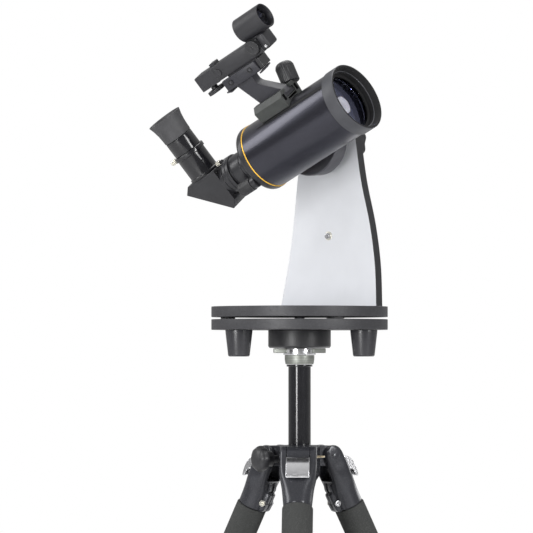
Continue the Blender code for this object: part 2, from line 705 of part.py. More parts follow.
def build_diagonal(rolled):
    """Prism housing with its nose barrel, the prism inside it, and the eyepiece holder on top."""
    top = DIAGONAL_HALF
    rear = -DIAGONAL_FRONT - DIAGONAL_SIDE
    cut_off = 0.0082
    section = [
        (-DIAGONAL_FRONT, top),
        (rear, top),
        (rear - cut_off, top - cut_off),
        (-DIAGONAL_FRONT - cut_off, top - DIAGONAL_SIDE - cut_off),
        (-DIAGONAL_FRONT, top - DIAGONAL_SIDE),
    ]
    housing = slab("prism_housing", section, DIAGONAL_THICKNESS, rolled, BLACK_METAL, turn=(90, 0, 0))
    barrel = [
        (0.0156, 0.0380),
        (0.0156, 0.0100 - GAP),
        (0.0180, 0.0100 - GAP),
        (0.0180, -0.0010),
        (0.0136, -0.0010),
        (0.0136, 0.0380),
    ]
    nose = turned("nose_barrel", barrel, rolled, None, MEDIUM, location=(-DIAGONAL_FRONT, 0, 0), turn=(0, 90, 0))
    wall = 0.0025
    cavity_front = -DIAGONAL_FRONT - wall
    cavity_top = top - wall
    side = DIAGONAL_SIDE - 0.0030
    cavity = slab("prism_space", [
        (cavity_front, cavity_top),
        (cavity_front - side, cavity_top),
        (cavity_front, cavity_top - side),
    ], DIAGONAL_THICKNESS - 2 * wall, rolled, None, turn=(90, 0, 0))
    front_bore = rod("front_bore", 0.0136, -0.010, 0.010, rolled, None, MEDIUM,
                     location=(-DIAGONAL_FRONT, 0, 0), turn=(0, 90, 0))
    eyepiece_at = -DIAGONAL_FRONT - DIAGONAL_SIDE + DIAGONAL_HALF
    top_bore = rod("top_bore", 0.0136, -0.010, 0.010, rolled, None, MEDIUM, location=(eyepiece_at, 0, top))
    join(housing, nose)
    cut(housing, cavity, front_bore, top_bore)

    face = GAP
    prism_side = side - 3.5 * face
    slab("diagonal_prism", [
        (cavity_front - face, cavity_top - face),
        (cavity_front - face - prism_side, cavity_top - face),
        (cavity_front - face, cavity_top - face - prism_side),
    ], DIAGONAL_THICKNESS - 2 * wall - 2 * face, rolled, GLASS, turn=(90, 0, 0))
    return eyepiece_at


def build_eyepiece(rolled, eyepiece_at):
    """Holder, eyepiece barrel and body, and the flared rubber eyecup."""
    base = DIAGONAL_HALF + GAP
    holder = [
        (0.0192, 0.0548),
        (0.0197, 0.0543),
        (0.0197, 0.0500),
        (0.0180, 0.0493),
        (0.0180, base),
        (0.0161, base),
        (0.0161, 0.0548),
    ]
    spot = (eyepiece_at, 0, 0)
    turned("eyepiece_holder", holder, rolled, GLOSS_BLACK, MEDIUM, location=spot)
    body = [
        (0.0150, 0.0800),
        (0.0150, 0.0745),
        (0.0172, 0.0742),
        (0.0172, 0.0551),
        (0.0158, 0.0551),
        (0.0158, 0.0290),
        (0.0140, 0.0290),
        (0.0140, 0.0650),
        (0.0095, 0.0690),
        (0.0095, 0.0800),
    ]
    turned("eyepiece_body", body, rolled, GLOSS_BLACK, MEDIUM, location=spot)
    cup = [
        (0.0216, 0.1020),
        (0.0196, 0.0950),
        (0.0184, 0.0880),
        (0.0178, 0.0810),
        (0.0176, 0.0748),
        (0.0153, 0.0748),
        (0.0153, 0.0803),
        (0.0162, 0.0880),
        (0.0178, 0.0950),
        (0.0202, 0.1020),
    ]
    turned("eyecup", cup, rolled, RUBBER, MEDIUM, location=spot)


# ---------------------------------------------------------------- finder
CLAMP_SCREW = (-0.0760, 0.0268, 0.0558)    # foot of the shoe's clamp knob, in the rolled frame
CLAMP_LEAN = 25.0                          # the screw leans this far towards the board side


def build_shoe(rolled):
    """Dovetail shoe: its foot hugs the tube, and a slot along its top takes the bracket."""
    hug = TUBE_RADIUS + GAP
    edge = degrees(asin(0.0197 / hug))
    right_half = [(0.0080, SHOE_TOP), (0.0166, SHOE_TOP), (0.0235, 0.0490), (0.0212, 0.0360)]
    slot = [(0.0080, 0.0510), (0.0125, 0.0510), (0.0125, 0.0440)]
    section = right_half
    section = section + arc((0, 0), hug, 90 - edge, 90 + edge, 9)
    section = section + [(-h, g) for h, g in reversed(right_half)]
    section = section + [(-h, g) for h, g in slot]
    section = section + list(reversed(slot))
    length = SHOE_REAR - SHOE_FRONT
    shoe = slab("finder_shoe", section, length, rolled, BLACK_METAL,
                location=(-(SHOE_FRONT + SHOE_REAR) / 2, 0, 0), turn=(90, 0, 90))
    axis = frame("clamp_screw_axis", rolled, CLAMP_SCREW, (-CLAMP_LEAN, 0, 0))
    boss = rod("clamp_boss", 0.0038, -0.0120, -GAP, axis, None, 16)
    join(shoe, boss)

    knob = slab("shoe_knob", lobed(0.0112, 0.0003, 16, 32), 0.0160, axis, BLACK_PLASTIC, location=(0, 0, 0.0080))
    dome = turned("shoe_knob_dome", [
        (0, 0.0222),
        (0.0040, 0.0220),
        (0.0078, 0.0209),
        (0.0100, 0.0189),
        (0.0108, 0.0159),
        (0, 0.0159),
    ], axis, None, COARSE)
    join(knob, dome)


def build_bracket(rolled):
    """Foot in the shoe, slanting web, and the jaws that hold the finder's rail."""
    web = [
        (-0.0687, 0.0480),
        (-0.1050, 0.0480),
        (-0.1065, 0.0560),
        (-0.1185, 0.0880),
        (-0.0935, 0.0880),
        (-0.0945, 0.0765),
        (-0.0715, 0.0556),
    ]
    bracket = slab("finder_bracket", web, 0.0150, rolled, DARK_PLASTIC, turn=(90, 0, 0))
    foot_length = SHOE_REAR - SHOE_FRONT - 0.0030
    foot = block("bracket_foot", (foot_length, 0.0242, 0.0060), rolled, None,
                 location=(-(SHOE_FRONT + SHOE_REAR) / 2, 0, 0.0474))
    jaw_length = 0.0515
    jaw_middle = -0.1022
    jaws = block("jaws", (jaw_length, 0.0260, CLAMP_TOP - CLAMP_BOTTOM), rolled, None,
                 location=(jaw_middle, 0, (CLAMP_BOTTOM + CLAMP_TOP) / 2))
    groove = block("groove", (0.080, 0.0170, 0.0200), rolled, None, location=(jaw_middle, 0, 0.0910 + 0.0100))
    join(bracket, foot, jaws)
    cut(bracket, groove)


def build_finder(rolled):
    """Red-dot finder: body with its rail, front housing, window tube and side dial."""
    rear, front = -0.1575, -0.0570
    body = block("finder_body", (front - rear, 0.0210, FINDER_TOP - FINDER_BOTTOM), rolled, FINDER_PLASTIC, 0.0010,
                 location=((front + rear) / 2, 0, (FINDER_TOP + FINDER_BOTTOM) / 2))
    rail = block("finder_rail", (0.0450, 0.0164, 0.0120), rolled, None, location=(-0.0965, 0, 0.0973))
    neck = block("finder_neck", (0.0120, 0.0180, 0.0140), rolled, None, location=(-0.0540, 0, 0.1110))
    lamp = block("finder_lamp", (0.0100, 0.0230, 0.0195), rolled, None, 0.0030, location=(-0.0510, 0, 0.1127))
    window_height = FINDER_TOP + GAP + WINDOW_RADIUS
    around_window = rod("around_window", WINDOW_RADIUS + GAP, -0.080, -0.020, rolled, None, MEDIUM,
                        location=(0, 0, window_height), turn=(0, 90, 0))
    join(body, rail, neck, lamp)
    cut(body, around_window)
    pipe("window_tube", WINDOW_RADIUS, WINDOW_RADIUS - 0.0015, -0.0728, -0.0340, rolled, FINDER_PLASTIC, MEDIUM,
         location=(0, 0, window_height), turn=(0, 90, 0))
    dial_axis = frame("finder_dial_axis", rolled, (-0.0665, -0.0105, 0.1140), (90, 0, 0))
    turned("finder_dial", [
        (0, 0.0042),
        (0.0082, 0.0042),
        (0.0089, 0.0034),
        (0.0089, GAP),
        (0, GAP),
    ], dial_axis, BLACK_PLASTIC, MEDIUM)


# ---------------------------------------------------------------- assembly
def build():
    stand = frame("stand", None, (STAND_X, STAND_Y, 0))
    column = frame("column", stand, (0, 0, HINGE_HEIGHT))
    turntable = frame("turntable", column, (0, 0, UPPER_DISC_TOP), (0, 0, HEADING))
    altitude = frame("altitude", turntable, (0, -TUBE_OFFSET, PIVOT_HEIGHT), (0, -ELEVATION, 0))
    rim = (PIVOT_BEHIND_RIM, 0, -AXIS_BELOW_PIVOT)
    optics = frame("optics", altitude, rim, (0, 90, 0))
    rolled = frame("rolled", altitude, rim, (ROLL, 0, 0))

    build_crown(stand)
    build_column_knob(stand)
    floor = block("floor_cut", (2.0, 2.0, 0.2), stand, None, location=(0, 0, -0.1))
    for name in LEG_AZIMUTHS:
        build_leg(name, stand, floor)
    build_column(column)
    build_head(column)
    build_base(column)
    build_turntable(turntable)
    build_altitude_bearing(altitude)
    build_front(optics)
    build_tube(optics)
    build_rear(optics)
    build_focus_knob(altitude)
    eyepiece_at = build_diagonal(rolled)
    build_eyepiece(rolled, eyepiece_at)
    build_shoe(rolled)
    build_bracket(rolled)
    build_finder(rolled)


clear_scene()
PARTS = new_collection("telescope_on_tripod")
CUTTERS = new_collection("cutters")
TUBE_PAINT = make_material("tube_paint", (0.055, 0.055, 0.070), 0.30)
DARK_METAL = make_material("dark_metal", (0.060, 0.062, 0.068), 0.35, 0.4)
BLACK_METAL = make_material("black_metal", (0.030, 0.030, 0.033), 0.40)
GLOSS_BLACK = make_material("gloss_black", (0.012, 0.012, 0.015), 0.15)
BLACK_PLASTIC = make_material("black_plastic", (0.022, 0.022, 0.025), 0.45)
DARK_PLASTIC = make_material("dark_plastic", (0.050, 0.050, 0.058), 0.45)
FINDER_PLASTIC = make_material("finder_plastic", (0.045, 0.045, 0.050), 0.50)
GREY_METAL = make_material("grey_metal", (0.350, 0.350, 0.350), 0.35, 0.8)
CHROME = make_material("chrome", (0.800, 0.800, 0.820), 0.10, 1.0)
BRASS = make_material("brass", (0.650, 0.500, 0.300), 0.30, 1.0)
BOARD_BLACK = make_material("board_black", (0.055, 0.055, 0.060), 0.55)
LAMINATE = make_material("laminate", (0.640, 0.650, 0.680), 0.35)
PAD_PLASTIC = make_material("pad_plastic", (0.120, 0.120, 0.125), 0.50)
RUBBER = make_material("rubber", (0.030, 0.030, 0.033), 0.60)
FOAM = make_material("foam", (0.040, 0.041, 0.040), 0.95)
GLASS = make_material("glass", (0.020, 0.020, 0.060), 0.05)
MIRROR = make_material("mirror", (0.850, 0.850, 0.870), 0.05, 1.0)
build()
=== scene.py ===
"""Looks for the small telescope on its turntable mount and tripod. Metres, +Z up.

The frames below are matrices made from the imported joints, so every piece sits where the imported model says.
Profiles and outlines are written in those frames: turned pieces about the frame's Z, plates in its XY plane.
"""

import json
from math import atan2, ceil, cos, degrees, pi, radians, sin, sqrt, tan

import bmesh
import bpy
from mathutils import Matrix, Vector


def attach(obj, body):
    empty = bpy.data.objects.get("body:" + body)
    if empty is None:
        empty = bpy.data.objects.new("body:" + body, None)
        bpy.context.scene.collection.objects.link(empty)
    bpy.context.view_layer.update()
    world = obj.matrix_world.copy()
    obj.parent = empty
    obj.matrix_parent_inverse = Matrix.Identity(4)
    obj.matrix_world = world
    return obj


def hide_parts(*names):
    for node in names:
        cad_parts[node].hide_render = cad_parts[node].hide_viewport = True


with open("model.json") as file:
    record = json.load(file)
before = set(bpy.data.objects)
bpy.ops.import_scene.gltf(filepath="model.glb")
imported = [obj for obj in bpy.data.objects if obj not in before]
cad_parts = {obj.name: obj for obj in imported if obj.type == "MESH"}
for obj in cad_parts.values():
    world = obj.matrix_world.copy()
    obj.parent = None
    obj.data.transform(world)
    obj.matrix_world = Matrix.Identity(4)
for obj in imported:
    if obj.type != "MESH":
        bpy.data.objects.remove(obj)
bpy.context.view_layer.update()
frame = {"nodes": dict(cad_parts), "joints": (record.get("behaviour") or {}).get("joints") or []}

# ---- sizes shared by several pieces
GAP = 0.0003                  # clearance between touching pieces
TUBE_RADIUS = 0.0397
TUBE_BORE = 0.0374            # radius of what plugs into the tube
TUBE_REAR = 0.147             # behind the front rim
LENS_FRONT = 0.0165
BACK_FACE = 0.157
BACK_END = 0.198
DIAGONAL_FRONT = 0.208
DIAGONAL_HALF = 0.0205
DIAGONAL_SIDE = 0.0425
DIAGONAL_THICKNESS = 0.034
AXIS_BELOW_PIVOT = 0.0041
TUBE_OFFSET = 0.025           # turntable axis to optical axis
BOARD_OFFSET = 0.055          # turntable axis to the board's inner face
BOARD_THICKNESS = 0.012
DISC_RADIUS = 0.1023
DISC_THICKNESS = 0.0122
DISC_GAP = 0.0026
FOOT_CIRCLE = 0.083
FINDER_BOTTOM, FINDER_TOP = 0.1023, 0.1208
WINDOW_RADIUS = 0.0148
LEGS = ("front", "right", "left")

# ---- frames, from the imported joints
JOINTS = {joint["name"]: joint for joint in frame["joints"]}
UP = Vector((0, 0, 1))


def spot(joint):
    return Vector(JOINTS[joint]["pos_m"])


def axis(joint):
    return Vector(JOINTS[joint]["axis"])


def frame_at(origin, x, y):
    """A frame at origin with its X along x, and its Y as near y as it can be."""
    x = x.normalized()
    z = x.cross(y).normalized()
    matrix = Matrix((x, z.cross(x), z)).transposed().to_4x4()
    matrix.translation = origin
    return matrix


def axle(origin, z, side=None):
    """A frame at origin with its Z along z, and its X as near side as it can be."""
    side = side or (Vector((1, 0, 0)) if abs(z.z) > 0.9 else UP)
    y = z.cross(side).normalized()
    return frame_at(origin, y.cross(z), y)


def joint_frame(joint, side=None):
    return axle(spot(joint), axis(joint), side)


def side_view_of(base):
    """The same frame with its XY plane turned into base's XZ plane."""
    turn = base.to_3x3()
    return frame_at(base.translation, turn.col[0], turn.col[2])


def inside(base, place=(0, 0, 0), z=None, x=None):
    """A frame at a place in base, turned so that its Z is z and its X is near x, both in base's terms."""
    moved = base @ Matrix.Translation(place)
    if z is None:
        return moved
    turn = base.to_3x3()
    return axle(moved.translation, turn @ Vector(z), turn @ Vector(x) if x else None)


STAND_AXIS = spot("azimuth_turn").xy
HINGE_HEIGHT = spot("front_leg_spread").z
FORWARD = axis("diagonal_turn")
ALTITUDE_AXIS = -axis("altitude_tilt")
FINDER_UP = axis("eyepiece_draw")
COLUMN = Matrix.Translation((*STAND_AXIS, HINGE_HEIGHT))
TURNTABLE = frame_at(spot("azimuth_turn"), ALTITUDE_AXIS.cross(UP), ALTITUDE_AXIS)
ALTITUDE = frame_at(spot("altitude_tilt"), FORWARD, ALTITUDE_AXIS)
OPTICS = frame_at(spot("diagonal_turn"), ALTITUDE_AXIS.cross(FORWARD), ALTITUDE_AXIS)
ROLLED = frame_at(spot("diagonal_turn"), FORWARD, FINDER_UP.cross(FORWARD))
EYEPIECE_AT = -DIAGONAL_FRONT - DIAGONAL_SIDE + DIAGONAL_HALF
EYEPIECE = inside(ROLLED, (EYEPIECE_AT, 0, 0))
LOWER_DISC_TOP = TURNTABLE.translation.z - HINGE_HEIGHT - DISC_THICKNESS - DISC_GAP
LOWER_DISC_BOTTOM = LOWER_DISC_TOP - DISC_THICKNESS


def leg_frame(name):
    """On the leg's hinge pin: Z up the leg, Y along the pin, X outward."""
    pin = axis(name + "_leg_spread")
    return frame_at(spot(name + "_leg_spread"), pin.cross(axis(name + "_lock_turn")), pin)


# ---- materials
def new_material(name):
    material = bpy.data.materials.new(name)
    material.use_nodes = True
    tree = material.node_tree
    where = tree.nodes.new("ShaderNodeTexCoord").outputs["Object"]
    return material, tree, tree.nodes["Principled BSDF"], where


def settle(node, **values):
    """Sets a node's unlinked inputs; an underscore stands for a space."""
    for name, value in values.items():
        node.inputs[name.replace("_", " ")].default_value = value


def noise(tree, where, cells, detail=2.0, stretch=(1, 1, 1)):
    """Noise with that many cells to the metre, as a value about 0.5."""
    mapping = tree.nodes.new("ShaderNodeMapping")
    settle(mapping, Scale=stretch)
    texture = tree.nodes.new("ShaderNodeTexNoise")
    settle(texture, Scale=cells, Detail=detail)
    tree.links.new(where, mapping.inputs["Vector"])
    tree.links.new(mapping.outputs["Vector"], texture.inputs["Vector"])
    return texture.outputs[0]


def remap(tree, value, low, high, start=0.35, stop=0.65):
    node = tree.nodes.new("ShaderNodeMapRange")
    settle(node, From_Min=start, From_Max=stop, To_Min=low, To_Max=high)
    tree.links.new(value, node.inputs["Value"])
    return node.outputs["Result"]


def blend_colours(tree, factor, first, second):
    node = tree.nodes.new("ShaderNodeMix")
    node.data_type = "RGBA"
    for socket, colour in (("A", first), ("B", second)):
        found = [s for s in node.inputs if s.name == socket and s.type == "RGBA"][0]
        if isinstance(colour, bpy.types.NodeSocket):
            tree.links.new(colour, found)
        else:
            found.default_value = (*colour, 1.0)
    tree.links.new(factor, node.inputs["Factor"])
    return [s for s in node.outputs if s.type == "RGBA"][0]


def raise_surface(tree, shader, height, distance):
    bump = tree.nodes.new("ShaderNodeBump")
    settle(bump, Distance=distance, Strength=1.0)
    tree.links.new(height, bump.inputs["Height"])
    tree.links.new(bump.outputs["Normal"], shader.inputs["Normal"])


def surface(name, colour, roughness, metallic, mottle, patches, spread, grain, bump, coat=0.0,
            stretch=(1, 1, 1)):
    """A finish whose colour and roughness drift a little and whose surface has a fine grain."""
    material, tree, shader, where = new_material(name)
    drift = remap(tree, noise(tree, where, patches, 4.0, stretch), 0, 1)
    fine = noise(tree, where, grain, 2.0, stretch)
    dark = [c * (1 - mottle) for c in colour]
    light = [c * (1 + mottle) for c in colour]
    tree.links.new(blend_colours(tree, drift, dark, light), shader.inputs["Base Color"])
    tree.links.new(remap(tree, fine, roughness - spread, roughness + spread), shader.inputs["Roughness"])
    settle(shader, Metallic=metallic, Coat_Weight=coat, Coat_Roughness=0.08)
    raise_surface(tree, shader, fine, bump)
    return material


def speckled(name, colour, fleck, roughness):
    """Melamine-faced board: a pebbled dark face with fine paler flecks."""
    material, tree, shader, where = new_material(name)
    flecks = remap(tree, noise(tree, where, 1500, 3.0), 0, 1, 0.52, 0.72)
    pebble = noise(tree, where, 700, 2.0)
    tree.links.new(blend_colours(tree, flecks, colour, fleck), shader.inputs["Base Color"])
    tree.links.new(remap(tree, pebble, roughness - 0.08, roughness + 0.08), shader.inputs["Roughness"])
    raise_surface(tree, shader, pebble, 0.00008)
    return material


def foam(name, colour):
    """Closed-cell foam: soft, dry and pitted with small pores."""
    material, tree, shader, where = new_material(name)
    cells = tree.nodes.new("ShaderNodeTexVoronoi")
    settle(cells, Scale=900)
    tree.links.new(where, cells.inputs["Vector"])
    pores = remap(tree, cells.outputs["Distance"], 0, 1, 0.05, 0.45)
    drift = noise(tree, where, 120, 4.0)
    deep, dark, light = ([c * share for c in colour] for share in (0.55, 0.85, 1.15))
    tone = blend_colours(tree, remap(tree, drift, 0, 1), dark, light)
    tree.links.new(blend_colours(tree, pores, tone, deep), shader.inputs["Base Color"])
    settle(shader, Roughness=0.95, Specular_IOR_Level=0.2)
    raise_surface(tree, shader, pores, -0.00016)
    return material


def glass(name, colour, tint, ior=1.5):
    """Clear glass with a coating that tints its reflection, and faint dust on it."""
    material, tree, shader, where = new_material(name)
    settle(shader, Base_Color=(*colour, 1.0), Specular_Tint=(*tint, 1.0), Transmission_Weight=1.0, IOR=ior)
    dust = noise(tree, where, 300, 5.0)
    tree.links.new(remap(tree, dust, 0.0, 0.05, 0.55, 0.8), shader.inputs["Roughness"])
    return material


def brushed(name, colour, roughness, stretch):
    return surface(name, colour, roughness, 1.0, 0.16, 90, 0.09, 260, 0.000006, stretch=stretch)


# Finishes of the record's slots: colour, roughness, metallic, mottle, patches, spread, grain, bump, coat.
FINISHES = {
    "tube_paint": ((0.046, 0.046, 0.058), 0.29, 0.9, 0.05, 25, 0.03, 5000, 0.000004, 0.2),
    "ring_paint": ((0.046, 0.047, 0.054), 0.48, 0.1, 0.1, 60, 0.06, 2600, 0.00002),
    "casting_paint": ((0.034, 0.035, 0.041), 0.24, 0.3, 0.1, 40, 0.04, 900, 0.000012),
    "black_metal": ((0.022, 0.022, 0.025), 0.34, 0.2, 0.1, 60, 0.05, 2600, 0.000006),
    "gloss_black": ((0.01, 0.01, 0.012), 0.15, 0.0, 0.12, 60, 0.02, 1200, 0.000001, 0.1),
    "black_plastic": ((0.016, 0.016, 0.018), 0.42, 0.0, 0.15, 90, 0.05, 2400, 0.00002),
    "bracket_plastic": ((0.016, 0.016, 0.022), 0.48, 0.0, 0.08, 60, 0.05, 2400, 0.000018),
    "finder_plastic": ((0.015, 0.015, 0.018), 0.5, 0.0, 0.1, 60, 0.05, 2600, 0.000025),
    "hub_metal": ((0.08, 0.08, 0.09), 0.4, 0.6, 0.05, 40, 0.04, 2600, 0.000008),
    "chrome": ((0.84, 0.84, 0.86), 0.22, 1.0, 0.03, 60, 0.05, 600, 0.000002),
    "brass": ((0.72, 0.65, 0.52), 0.28, 1.0, 0.08, 200, 0.05, 2000, 0.000004),
    "side_laminate": ((0.55, 0.56, 0.585), 0.38, 0.0, 0.02, 30, 0.04, 1800, 0.000012),
    "pad_plastic": ((0.12, 0.12, 0.125), 0.5, 0.0, 0.06, 60, 0.05, 2000, 0.00001),
    "rubber": ((0.044, 0.044, 0.047), 0.6, 0.0, 0.15, 60, 0.06, 1800, 0.00003),
    "mirror_glass": ((0.86, 0.86, 0.88), 0.03, 1.0, 0.01, 30, 0.01, 800, 0.000001),
}
# Finishes that only small parts have, in the same order.
EXTRA_FINISHES = {
    "gold": ((0.86, 0.5, 0.06), 0.38, 0.35, 0.05, 60, 0.05, 1500, 0.000004),
    "edge_band": ((0.018, 0.018, 0.02), 0.34, 0.0, 0.1, 60, 0.05, 1800, 0.000012),
    # Near-black: the baffles' own black, also used as painted shade inside the finder shoe's front hollows and
    # round the brightness dial.
    "baffle_black_and_shade": ((0.003, 0.003, 0.004), 0.85, 0.0, 0.1, 60, 0.05, 2200, 0.00003),
    "steel": ((0.55, 0.55, 0.56), 0.26, 1.0, 0.08, 200, 0.06, 1600, 0.000004),
    "black_steel": ((0.03, 0.03, 0.032), 0.3, 0.6, 0.08, 200, 0.06, 1600, 0.000004),
    "moulded": ((0.026, 0.026, 0.03), 0.3, 0.0, 0.12, 60, 0.05, 1800, 0.00001),
    "nickel": ((0.8, 0.78, 0.7), 0.3, 0.9, 0.06, 200, 0.06, 1600, 0.000004),
    "shoe_paint": ((0.036, 0.039, 0.037), 0.44, 0.2, 0.14, 120, 0.08, 1500, 0.00004),
    "silvering": ((0.97, 0.97, 0.98), 0.4, 0.0, 0.01, 30, 0.01, 800, 0.000001),
    "brown_rim": ((0.1, 0.06, 0.035), 0.4, 0.3, 0.1, 300, 0.05, 1600, 0.000004),
}
MATERIALS = {name: surface(name, *values) for name, values in FINISHES.items()}
MATERIALS.update({
    "collar_metal": brushed("collar_metal", (0.26, 0.27, 0.25), 0.5, (0.2, 0.2, 12)),
    "disc_board": speckled("disc_board", (0.022, 0.022, 0.025), (0.06, 0.06, 0.068), 0.52),
    "foam": foam("foam", (0.078, 0.08, 0.078)),
    "lens_glass": glass("lens_glass", (0.92, 0.92, 1.0), (0.36, 0.42, 1.0), 1.6),
    "prism_glass": glass("prism_glass", (0.92, 0.96, 0.96), (1, 1, 1)),
})
EXTRA = {name: surface(name, *values) for name, values in EXTRA_FINISHES.items()}


# ---- shapes
def softened(points, radius, closed=True):
    """The outline with rounded corners. A point's third number, if any, is that corner's own radius."""
    made = []
    count = len(points)
    for i, point in enumerate(points):
        here = Vector(point[:2])
        if not closed and i in (0, count - 1):
            made.append(here)
            continue
        back = Vector(points[i - 1][:2]) - here
        ahead = Vector(points[(i + 1) % count][:2]) - here
        turn = pi - back.angle(ahead)
        own = point[2] if len(point) > 2 else radius
        if turn < radians(14) or own <= 0:
            made.append(here)
            continue
        reach = min(own * tan(turn / 2), 0.42 * back.length, 0.42 * ahead.length)
        start = here + back.normalized() * reach
        end = here + ahead.normalized() * reach
        steps = max(2, ceil(turn / radians(24)))
        for k in range(steps + 1):
            t = k / steps
            made.append(start * (1 - t) ** 2 + here * (2 * t * (1 - t)) + end * t * t)
    return [tuple(point) for point in made]


def arc(centre, radius, start, end, count):
    angles = [radians(start + (end - start) * i / (count - 1)) for i in range(count)]
    return [(centre[0] + radius * cos(a), centre[1] + radius * sin(a)) for a in angles]


def hexagon(radius):
    return arc((0, 0), radius, 0, 300, 6)


def finished(shape, name, sharp):
    """The bmesh as a mesh with outward normals, shaded smooth except at edges above the sharp angle."""
    bmesh.ops.recalc_face_normals(shape, faces=shape.faces)
    mesh = bpy.data.meshes.new(name)
    shape.to_mesh(mesh)
    shape.free()
    mesh.shade_smooth()
    mesh.set_sharp_from_angle(angle=radians(sharp))
    return mesh


def turned_mesh(name, profile, steps, wave=None):
    """Turns (radius, height) points about Z. wave(angle, radius, height) is added to the radius."""
    shape = bmesh.new()
    rings = []
    for radius, height in profile:
        if radius < 1e-6:
            rings.append([shape.verts.new((0, 0, height))])
            continue
        ring = []
        for i in range(steps):
            angle = 2 * pi * i / steps
            r = radius + (wave(angle, radius, height) if wave else 0)
            ring.append(shape.verts.new((r * cos(angle), r * sin(angle), height)))
        rings.append(ring)
    if len(rings[0]) > 1:
        rings.append(rings[0])
    for high, low in zip(rings, rings[1:]):
        for i in range(steps):
            j = (i + 1) % steps
            corners = [high[i % len(high)], low[i % len(low)], low[j % len(low)], high[j % len(high)]]
            shape.faces.new(list(dict.fromkeys(corners)))
    return finished(shape, name, 40)


def plate_mesh(name, outline, thickness):
    shape = bmesh.new()
    low = [shape.verts.new((x, y, -thickness / 2)) for x, y in outline]
    high = [shape.verts.new((x, y, thickness / 2)) for x, y in outline]
    shape.faces.new(list(reversed(low)))
    shape.faces.new(high)
    for i in range(len(outline)):
        j = (i + 1) % len(outline)
        shape.faces.new((low[i], low[j], high[j], high[i]))
    return finished(shape, name, 35)


def in_scene(name, data, at=None):
    obj = bpy.data.objects.new(name, data)
    bpy.context.scene.collection.objects.link(obj)
    if at:
        obj.matrix_world = at
    return obj


def piece(name, mesh, at, body, finish, replaces=()):
    """A mesh riding on a body, with its finish. A finish from the record also names its slot."""
    obj = in_scene(name, mesh, at)
    mesh.materials.append(MATERIALS[finish] if finish in MATERIALS else EXTRA[finish])
    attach(obj, body)
    if replaces:
        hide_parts(*replaces)
    return obj


def turned(name, profile, at, body, finish, replaces=(), soften=0.0004, steps=96, wave=None):
    closed = profile[0][0] > 0
    mesh = turned_mesh(name, softened(profile, soften, closed), steps, wave)
    return piece(name, mesh, at, body, finish, replaces)


def rod_profile(radius, low, high):
    return [(0, high), (radius, high), (radius, low), (0, low)]


def rod(name, radius, low, high, at, body, finish, replaces=(), soften=0.0004, steps=48):
    return turned(name, rod_profile(radius, low, high), at, body, finish, replaces, soften, steps)


def sleeve(name, outer, inner, high, low, at, body, finish, replaces=(), soften=0.0004, steps=96, bend=()):
    """A ring or pipe about the frame's Z. bend is the outer corners' own rounding, where it differs."""
    profile = [(outer, high, *bend), (outer, low, *bend), (inner, low), (inner, high)]
    return turned(name, profile, at, body, finish, replaces, soften, steps)


def plate(name, outline, thickness, at, body, finish, replaces=(), bevel=0.0005):
    """A flat outline, extruded equally to both sides, with rounded edges."""
    obj = piece(name, plate_mesh(name, outline, thickness), at, body, finish, replaces)
    if bevel:
        round_edges(obj, bevel)
    return obj


def rectangle(size):
    x, y = size[0] / 2, size[1] / 2
    return [(-x, -y), (x, -y), (x, y), (-x, y)]


def block(name, size, at, body, finish, replaces=(), bevel=0.0005):
    return plate(name, rectangle(size), size[2], at, body, finish, replaces, bevel)


def round_edges(obj, width, angle=32):
    modifier = obj.modifiers.new("edges", "BEVEL")
    modifier.width = width
    modifier.segments = 3
    modifier.limit_method = "ANGLE"
    modifier.angle_limit = radians(angle)
    modifier.harden_normals = True


def cutter(mesh, at):
    return in_scene("cutter", mesh, at)


def cutting_block(size, at):
    return cutter(plate_mesh("cutter", rectangle(size), size[2]), at)


def cutting_rod(radius, low, high, at, steps=64):
    return cutter(turned_mesh("cutter", rod_profile(radius, low, high), steps), at)


def carve(obj, cuts=(), joins=()):
    """Joins shapes to obj, cuts others out of it and keeps the resulting mesh."""
    for operation, others in (("UNION", joins), ("DIFFERENCE", cuts)):
        for other in others:
            modifier = obj.modifiers.new(operation, "BOOLEAN")
            modifier.operation = operation
            modifier.solver = "EXACT"
            modifier.object = other
    bpy.context.view_layer.update()
    evaluated = obj.evaluated_get(bpy.context.evaluated_depsgraph_get())
    mesh = bpy.data.meshes.new_from_object(evaluated)
    obj.modifiers.clear()
    obj.data = mesh
    for other in (*cuts, *joins):
        bpy.data.objects.remove(other)
    mesh.shade_smooth()
    mesh.set_sharp_from_angle(angle=radians(35))
    return obj


def lobes(count, depth, above):
    """A wave for turned(): rounded lobes on the points farther out than a radius."""
    return lambda angle, radius, height: depth * cos(count * angle) if radius > above else 0.0


def flutes(count, depth, above, low=-1.0, high=1.0):
    """A wave for turned(): narrow grooves round a grip, between two heights."""
    def wave(angle, radius, height):
        if radius < above or not low < height < high:
            return 0.0
        return -depth * max(0.0, cos(count * angle)) ** 3
    return wave


def superellipse(half_x, half_y, power, z):
    ring = []
    for i in range(72):
        angle = 2 * pi * (i + 0.5) / 72
        c, s = cos(angle), sin(angle)
        scale = (abs(c) ** power + abs(s) ** power) ** (-1 / power)
        ring.append((half_x * c * scale, half_y * s * scale, z))
    return ring


def loft_mesh(name, rings):
    shape = bmesh.new()
    layers = [[shape.verts.new(point) for point in ring] for ring in rings]
    count = len(rings[0])
    for low, high in zip(layers, layers[1:]):
        for i in range(count):
            j = (i + 1) % count
            shape.faces.new((low[i], low[j], high[j], high[i]))
    shape.faces.new(list(reversed(layers[0])))
    shape.faces.new(layers[-1])
    return finished(shape, name, 50)


